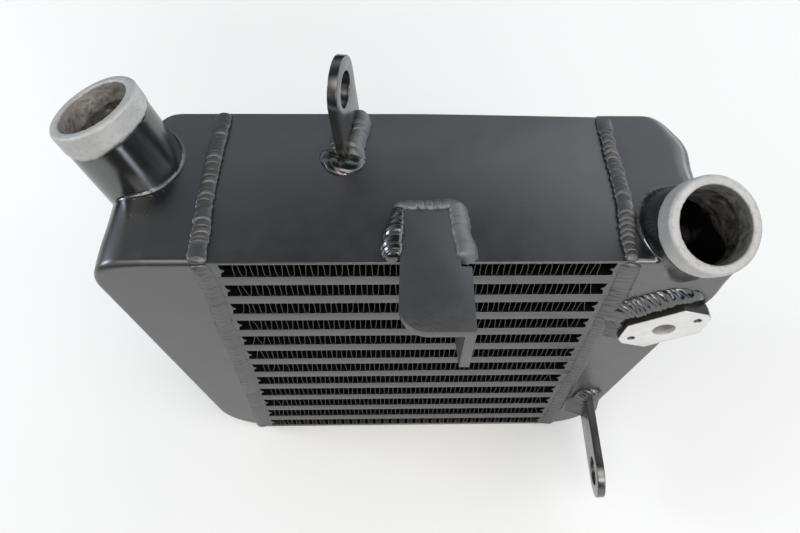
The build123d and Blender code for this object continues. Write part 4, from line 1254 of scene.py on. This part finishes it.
def surface(field, low, high, cell):
    """Surface net of field over a box, with its points pulled on to the
    surface.  Returns vertices, quads and normals, in mm."""
    axes = [np.arange(l, h + cell, cell) for l, h in zip(low, high)]
    n = [len(a) for a in axes]
    grid = np.stack(np.meshgrid(*axes, indexing="ij"), -1).reshape(-1, 3)
    v = np.concatenate([field(chunk) for chunk in np.array_split(grid, 24)]).reshape(n)
    inside = v < 0
    cells = tuple(k - 1 for k in n)
    total = np.zeros(cells + (3,))
    count = np.zeros(cells)
    corner = {}
    for dx in (0, 1):
        for dy in (0, 1):
            for dz in (0, 1):
                corner[dx, dy, dz] = (slice(dx, dx + cells[0]), slice(dy, dy + cells[1]), slice(dz, dz + cells[2]))
    for a in corner:
        for ax in range(3):
            if a[ax]:
                continue
            b = list(a)
            b[ax] = 1
            va, vb = v[corner[a]], v[corner[tuple(b)]]
            cross = (va < 0) != (vb < 0)
            t = np.where(cross, va / np.where(cross, va - vb, 1.0), 0.0)
            for q in range(3):
                total[..., q] += np.where(cross, (t if q == ax else 0.0) + (a[q] if q != ax else 0.0), 0.0)
            count += cross
    used = count > 0
    index = np.full(cells, -1)
    index[used] = np.arange(used.sum())
    where = np.argwhere(used)
    pts = np.array(low) + cell * (where + total[used] / count[used][:, None])
    quads = []
    for ax in range(3):
        a = [slice(1, k - 1) for k in n]
        a[ax] = slice(0, n[ax] - 1)
        b = list(a)
        b[ax] = slice(1, n[ax])
        va, vb = inside[tuple(a)], inside[tuple(b)]
        flip = va & ~vb
        at = np.argwhere(va != vb)
        flip = flip[va != vb]
        base = at.copy()
        for q in range(3):
            if q != ax:
                base[:, q] += 1
        u, w = [q for q in range(3) if q != ax]
        ids = []
        for du, dw in ((0, 0), (1, 0), (1, 1), (0, 1)):
            c = base.copy()
            c[:, u] -= 1 - du
            c[:, w] -= 1 - dw
            ids.append(index[c[:, 0], c[:, 1], c[:, 2]])
        q = np.stack(ids, 1)
        turn = flip if ax != 1 else ~flip
        q = np.where(turn[:, None], q, q[:, ::-1])
        quads.append(q)
    quads = np.concatenate(quads)

    def slope(p, h=0.05):
        g = np.empty_like(p)
        for q in range(3):
            step = np.zeros(3)
            step[q] = h
            g[:, q] = (field(p + step) - field(p - step)) / (2 * h)
        return g

    for _ in range(3):
        g = slope(pts)
        f = field(pts)
        move = f[:, None] * g / np.maximum((g * g).sum(1), 0.2)[:, None]
        size = np.linalg.norm(move, axis=1)
        move *= np.minimum(1.0, 0.6 * cell / np.maximum(size, 1e-9))[:, None]
        pts = pts - move
    g = slope(pts, 0.12)
    return pts, quads, g / np.maximum(np.linalg.norm(g, axis=1), 1e-9)[:, None]


def tank_mesh(name, tank, material, node):
    xs = sorted((tank.side * (XJ - 2.6), tank.side * 193.0))
    cell = 1.35
    pts, quads, normals = surface(tank, (xs[0], -76.0, -0.5), (xs[1], 53.5, 288.0), cell)
    me = bpy.data.meshes.new(name)
    co = mm_all(pts)
    me.vertices.add(len(co))
    me.vertices.foreach_set("co", co.astype(np.float32).ravel())
    me.loops.add(quads.size)
    me.loops.foreach_set("vertex_index", quads.astype(np.int32).ravel())
    me.polygons.add(len(quads))
    me.polygons.foreach_set("loop_start", np.arange(0, quads.size, 4, dtype=np.int32))
    me.update(calc_edges=True)
    me.validate()
    me.polygons.foreach_set("use_smooth", [True] * len(me.polygons))
    me.normals_split_custom_set_from_vertices([tuple(map(float, v)) for v in normals[: len(me.vertices)]])
    ob = bpy.data.objects.new(name, me)
    scene.collection.objects.link(ob)
    me.materials.append(material)
    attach(ob, "root")
    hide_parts(node)
    return ob


def spatter(name, tank, count, seed):
    """Small beads of spatter in the angle between spigot and tank top."""
    rng = np.random.default_rng(seed)
    e1 = unit(np.cross(tank.axis, (0, 0, 1.0)))
    e2 = np.cross(tank.axis, e1)
    turn = np.linspace(0, 2 * math.pi, 241)
    s = np.arange(-6.0, -72.0, -0.5)
    root = []
    for a in turn:
        line = tank.mouth + tank.axis * s[:, None] + (math.cos(a) * e1 + math.sin(a) * e2) * 24.6
        under = np.argmax(tank.body(line) < 0)
        if under and line[under, 1] < -2 and abs(line[under, 0]) < tank.reach - 22 and line[under, 2] > ZT - 3:
            root.append(line[under])
    root = np.array(root)
    p = root[rng.integers(0, len(root), count)] + rng.normal(size=(count, 3)) * (1.5, 1.8, 0.4)
    for _ in range(5):
        g = np.stack([(tank(p + d) - tank(p - d)) / 0.2 for d in np.eye(3) * 0.1], 1)
        p = p - tank(p)[:, None] * g / np.maximum((g * g).sum(1), 0.2)[:, None]
    verts, faces = [], []
    for c, r in zip(p, rng.uniform(0.26, 0.70, count) * rng.uniform(0.7, 1.0, count)):
        base = len(verts)
        for i in range(1, 6):
            for j in range(9):
                t, f = math.pi * i / 6, 2 * math.pi * j / 9
                verts.append(tuple(c + r * np.array([math.sin(t) * math.cos(f), math.sin(t) * math.sin(f), math.cos(t)])))
        verts += [tuple(c + (0, 0, r)), tuple(c - (0, 0, r))]
        for j in range(9):
            k = (j + 1) % 9
            for i in range(4):
                faces.append((base + i * 9 + j, base + (i + 1) * 9 + j, base + (i + 1) * 9 + k, base + i * 9 + k))
            faces.append((base + 45, base + j, base + k))
            faces.append((base + 46, base + 36 + k, base + 36 + j))
    return place(name, mm_all(np.array(verts)), faces, bead_gloss, "black_powder_coat")


for name, args, mat in (
    ("left_tank", (-1, LEFT_MOUTH, LEFT_AXIS, 169.6, 0.178, 33.0, [(-50, 0.0), (-20, 3.0), (50, 6.5)], [(-50, 21.0), (50, 20.0)], 3.6, (50.7, 1.8, 30.0), (1.6, 1.3), 19.8), left_cast),
    ("right_tank", (1, RIGHT_MOUTH, RIGHT_AXIS, 166.8, 0.1595, 25.0, [(-50, 0.0), (-38, 1.2), (4, 9.2), (50, 8.2)], [(-50, 9.0), (-20, 12.0), (15, 16.0), (50, 12.0)], 2.6, (49.6, 2.2, 26.0), (1.6, 2.6), 19.8), right_cast),
):
    tank = Tank(*args)
    tank_mesh(name.replace("_tank", "_cast_tank"), tank, mat, name)
    spatter(name.replace("_tank", "_spatter"), tank, 120 if tank.side > 0 else 26, 61 + tank.side)

for name, ob in NODES.items():
    if ob.hide_render:
        continue
    ob.data.materials.clear()
    ob.data.materials.append(mill if name.startswith("charge_turbulator") else bead_paint)


# ------------------------------------------------------------------- stage
floor_nodes = Nodes("pale_floor")
tone = floor_nodes.noise(2.0, 3.0, 0.6)
floor_mat = floor_nodes.finish(
    floor_nodes.mix(floor_nodes.span(tone, 0.3, 0.7, 0.0, 1.0), (0.86, 0.858, 0.85), (0.90, 0.898, 0.892)),
    floor_nodes.span(tone, 0.3, 0.7, 0.6, 0.7),
    specular=0.3,
)
me = bpy.data.meshes.new("floor")
me.from_pydata([(-0.95, -0.62, 0), (0.95, -0.62, 0), (0.95, 1.35, 0), (-0.95, 1.35, 0)], [], [(0, 1, 2, 3)])
me.materials.append(floor_mat)
floor = bpy.data.objects.new("floor", me)
scene.collection.objects.link(floor)

world = bpy.data.worlds.new("studio")
scene.world = world
world.use_nodes = True
wt = world.node_tree
wt.nodes.clear()
w_out = wt.nodes.new("ShaderNodeOutputWorld")
w_bg = wt.nodes.new("ShaderNodeBackground")
w_co = wt.nodes.new("ShaderNodeTexCoord")
w_sep = wt.nodes.new("ShaderNodeSeparateXYZ")
wt.links.new(w_co.outputs["Generated"], w_sep.inputs[0])
wt.links.new(w_bg.outputs[0], w_out.inputs["Surface"])
SKY = 5.6


def w_math(op, a, b=0.0, c=None):
    n = wt.nodes.new("ShaderNodeMath")
    n.operation = op
    for i, v in enumerate((a, b, c)):
        if v is None:
            continue
        if isinstance(v, bpy.types.NodeSocket):
            wt.links.new(v, n.inputs[i])
        else:
            n.inputs[i].default_value = v
    return n.outputs[0]


# brightness of the room by height above the horizon, towards its four sides
w_el = w_math("DIVIDE", w_math("ARCSINE", w_sep.outputs["Z"]), math.pi / 2)
w_az = w_math("MULTIPLY", w_math("ARCTAN2", w_sep.outputs["X"], w_sep.outputs["Y"]), 180 / math.pi)
room = {
    0.0: [(0.0, 0.0, 0.0), (0.0, 0.0, 0.0), (0.76, 0.87, 0.93), (0.08, 0.11, 0.16), (0.0, 0.0, 0.0)],
    90.0: [(0.0, 0.0, 0.0), (1.58, 1.81, 1.98), (2.02, 1.90, 1.99), (0.0, 0.03, 0.05), (0.0, 0.0, 0.0)],
    180.0: [(0.0, 0.0, 0.0), (0.0, 0.0, 0.0), (0.28, 0.18, 0.10), (5.15, 5.05, 4.75), (0.0, 0.0, 0.0)],
    270.0: [(0.0, 0.0, 0.0), (1.2, 1.4, 1.7), (0.36, 0.30, 0.24), (0.0, 0.0, 0.0), (0.0, 0.0, 0.0)],
}
w_sum = None
for facing, tones in room.items():
    n = wt.nodes.new("ShaderNodeValToRGB")
    els = n.color_ramp.elements
    while len(els) < len(tones):
        els.new(0.5)
    for e, height, tone in zip(els, (0.0, 18 / 90, 38 / 90, 60 / 90, 1.0), tones):
        e.position = height
        e.color = (*[t / SKY for t in tone], 1.0)
    wt.links.new(w_el, n.inputs["Fac"])
    turn = w_math("ABSOLUTE", w_math("WRAP", w_math("SUBTRACT", w_az, facing), 180.0, -180.0))
    share = w_math("MAXIMUM", w_math("SUBTRACT", 1.0, w_math("DIVIDE", turn, 90.0)), 0.0)
    v = wt.nodes.new("ShaderNodeVectorMath")
    v.operation = "MULTIPLY_ADD" if w_sum is not None else "MULTIPLY"
    wt.links.new(n.outputs["Color"], v.inputs[0])
    wt.links.new(share, v.inputs[1])
    if w_sum is not None:
        wt.links.new(w_sum, v.inputs[2])
    w_sum = v.outputs[0]
wt.links.new(w_sum, w_bg.inputs["Color"])
w_bg.inputs["Strength"].default_value = SKY
# the table's surroundings, as seen straight past its edge
w_far = wt.nodes.new("ShaderNodeBackground")
w_far.inputs["Color"].default_value = (0.93, 0.93, 0.92, 1.0)
w_ray = wt.nodes.new("ShaderNodeLightPath")
w_mix = wt.nodes.new("ShaderNodeMixShader")
wt.links.new(w_ray.outputs["Is Camera Ray"], w_mix.inputs[0])
wt.links.new(w_bg.outputs[0], w_mix.inputs[1])
wt.links.new(w_far.outputs[0], w_mix.inputs[2])
wt.links.new(w_mix.outputs[0], w_out.inputs["Surface"])


def area(name, position, target, size, size_y, power, color=(1, 1, 1)):
    la = bpy.data.lights.new(name, "AREA")
    la.energy = power
    la.color = color
    la.shape = "RECTANGLE"
    la.size = size
    la.size_y = size_y
    ob = bpy.data.objects.new(name, la)
    scene.collection.objects.link(ob)
    ob.location = position
    ob.rotation_euler = (Vector(target) - Vector(position)).to_track_quat("-Z", "Y").to_euler()
    return ob


area("window", (0.35, -1.7, 1.15), (0, 0, 0.1), 0.9, 0.5, 9.4)
area("tall_window", (0.95, -1.85, 0.52), (0.05, -0.05, 0.2), 0.34, 1.3, 5.0, (0.90, 0.97, 1.10))
area("side_window", (-1.9, 0.14, 0.86), (-0.15, 0, 0.2), 0.5, 0.5, 11.0, (0.92, 0.98, 1.06))
area("low_window", (1.42, 1.3, 0.36), (0.1, 0, 0.2), 1.1, 0.5, 5.0, (0.92, 0.98, 1.04))

scene.view_settings.view_transform = "Standard"
scene.view_settings.look = "None"
scene.view_settings.exposure = 0.0
scene.view_settings.gamma = 1.0

# ------------------------------------------------------------------ camera
yaw, dip, roll = math.radians(-3.105), math.radians(57.992), math.radians(2.369)
d = np.array([-math.sin(yaw) * math.cos(dip), math.cos(yaw) * math.cos(dip), -math.sin(dip)])
r = np.array([math.cos(yaw), math.sin(yaw), 0.0])
u = np.cross(r, d)
r2 = math.cos(roll) * r + math.sin(roll) * u
u2 = -math.sin(roll) * r + math.cos(roll) * u
cam = bpy.data.cameras.new("camera")
cam.sensor_width = 36.0
cam.lens = 33.823
cam.clip_start = 0.01
cam_ob = bpy.data.objects.new("camera", cam)
scene.collection.objects.link(cam_ob)
cam_ob.matrix_world = Matrix(((r2[0], u2[0], -d[0], -0.011430), (r2[1], u2[1], -d[1], -0.216735), (r2[2], u2[2], -d[2], 0.546953), (0, 0, 0, 1)))
scene.camera = cam_ob

bpy.context.view_layer.update()
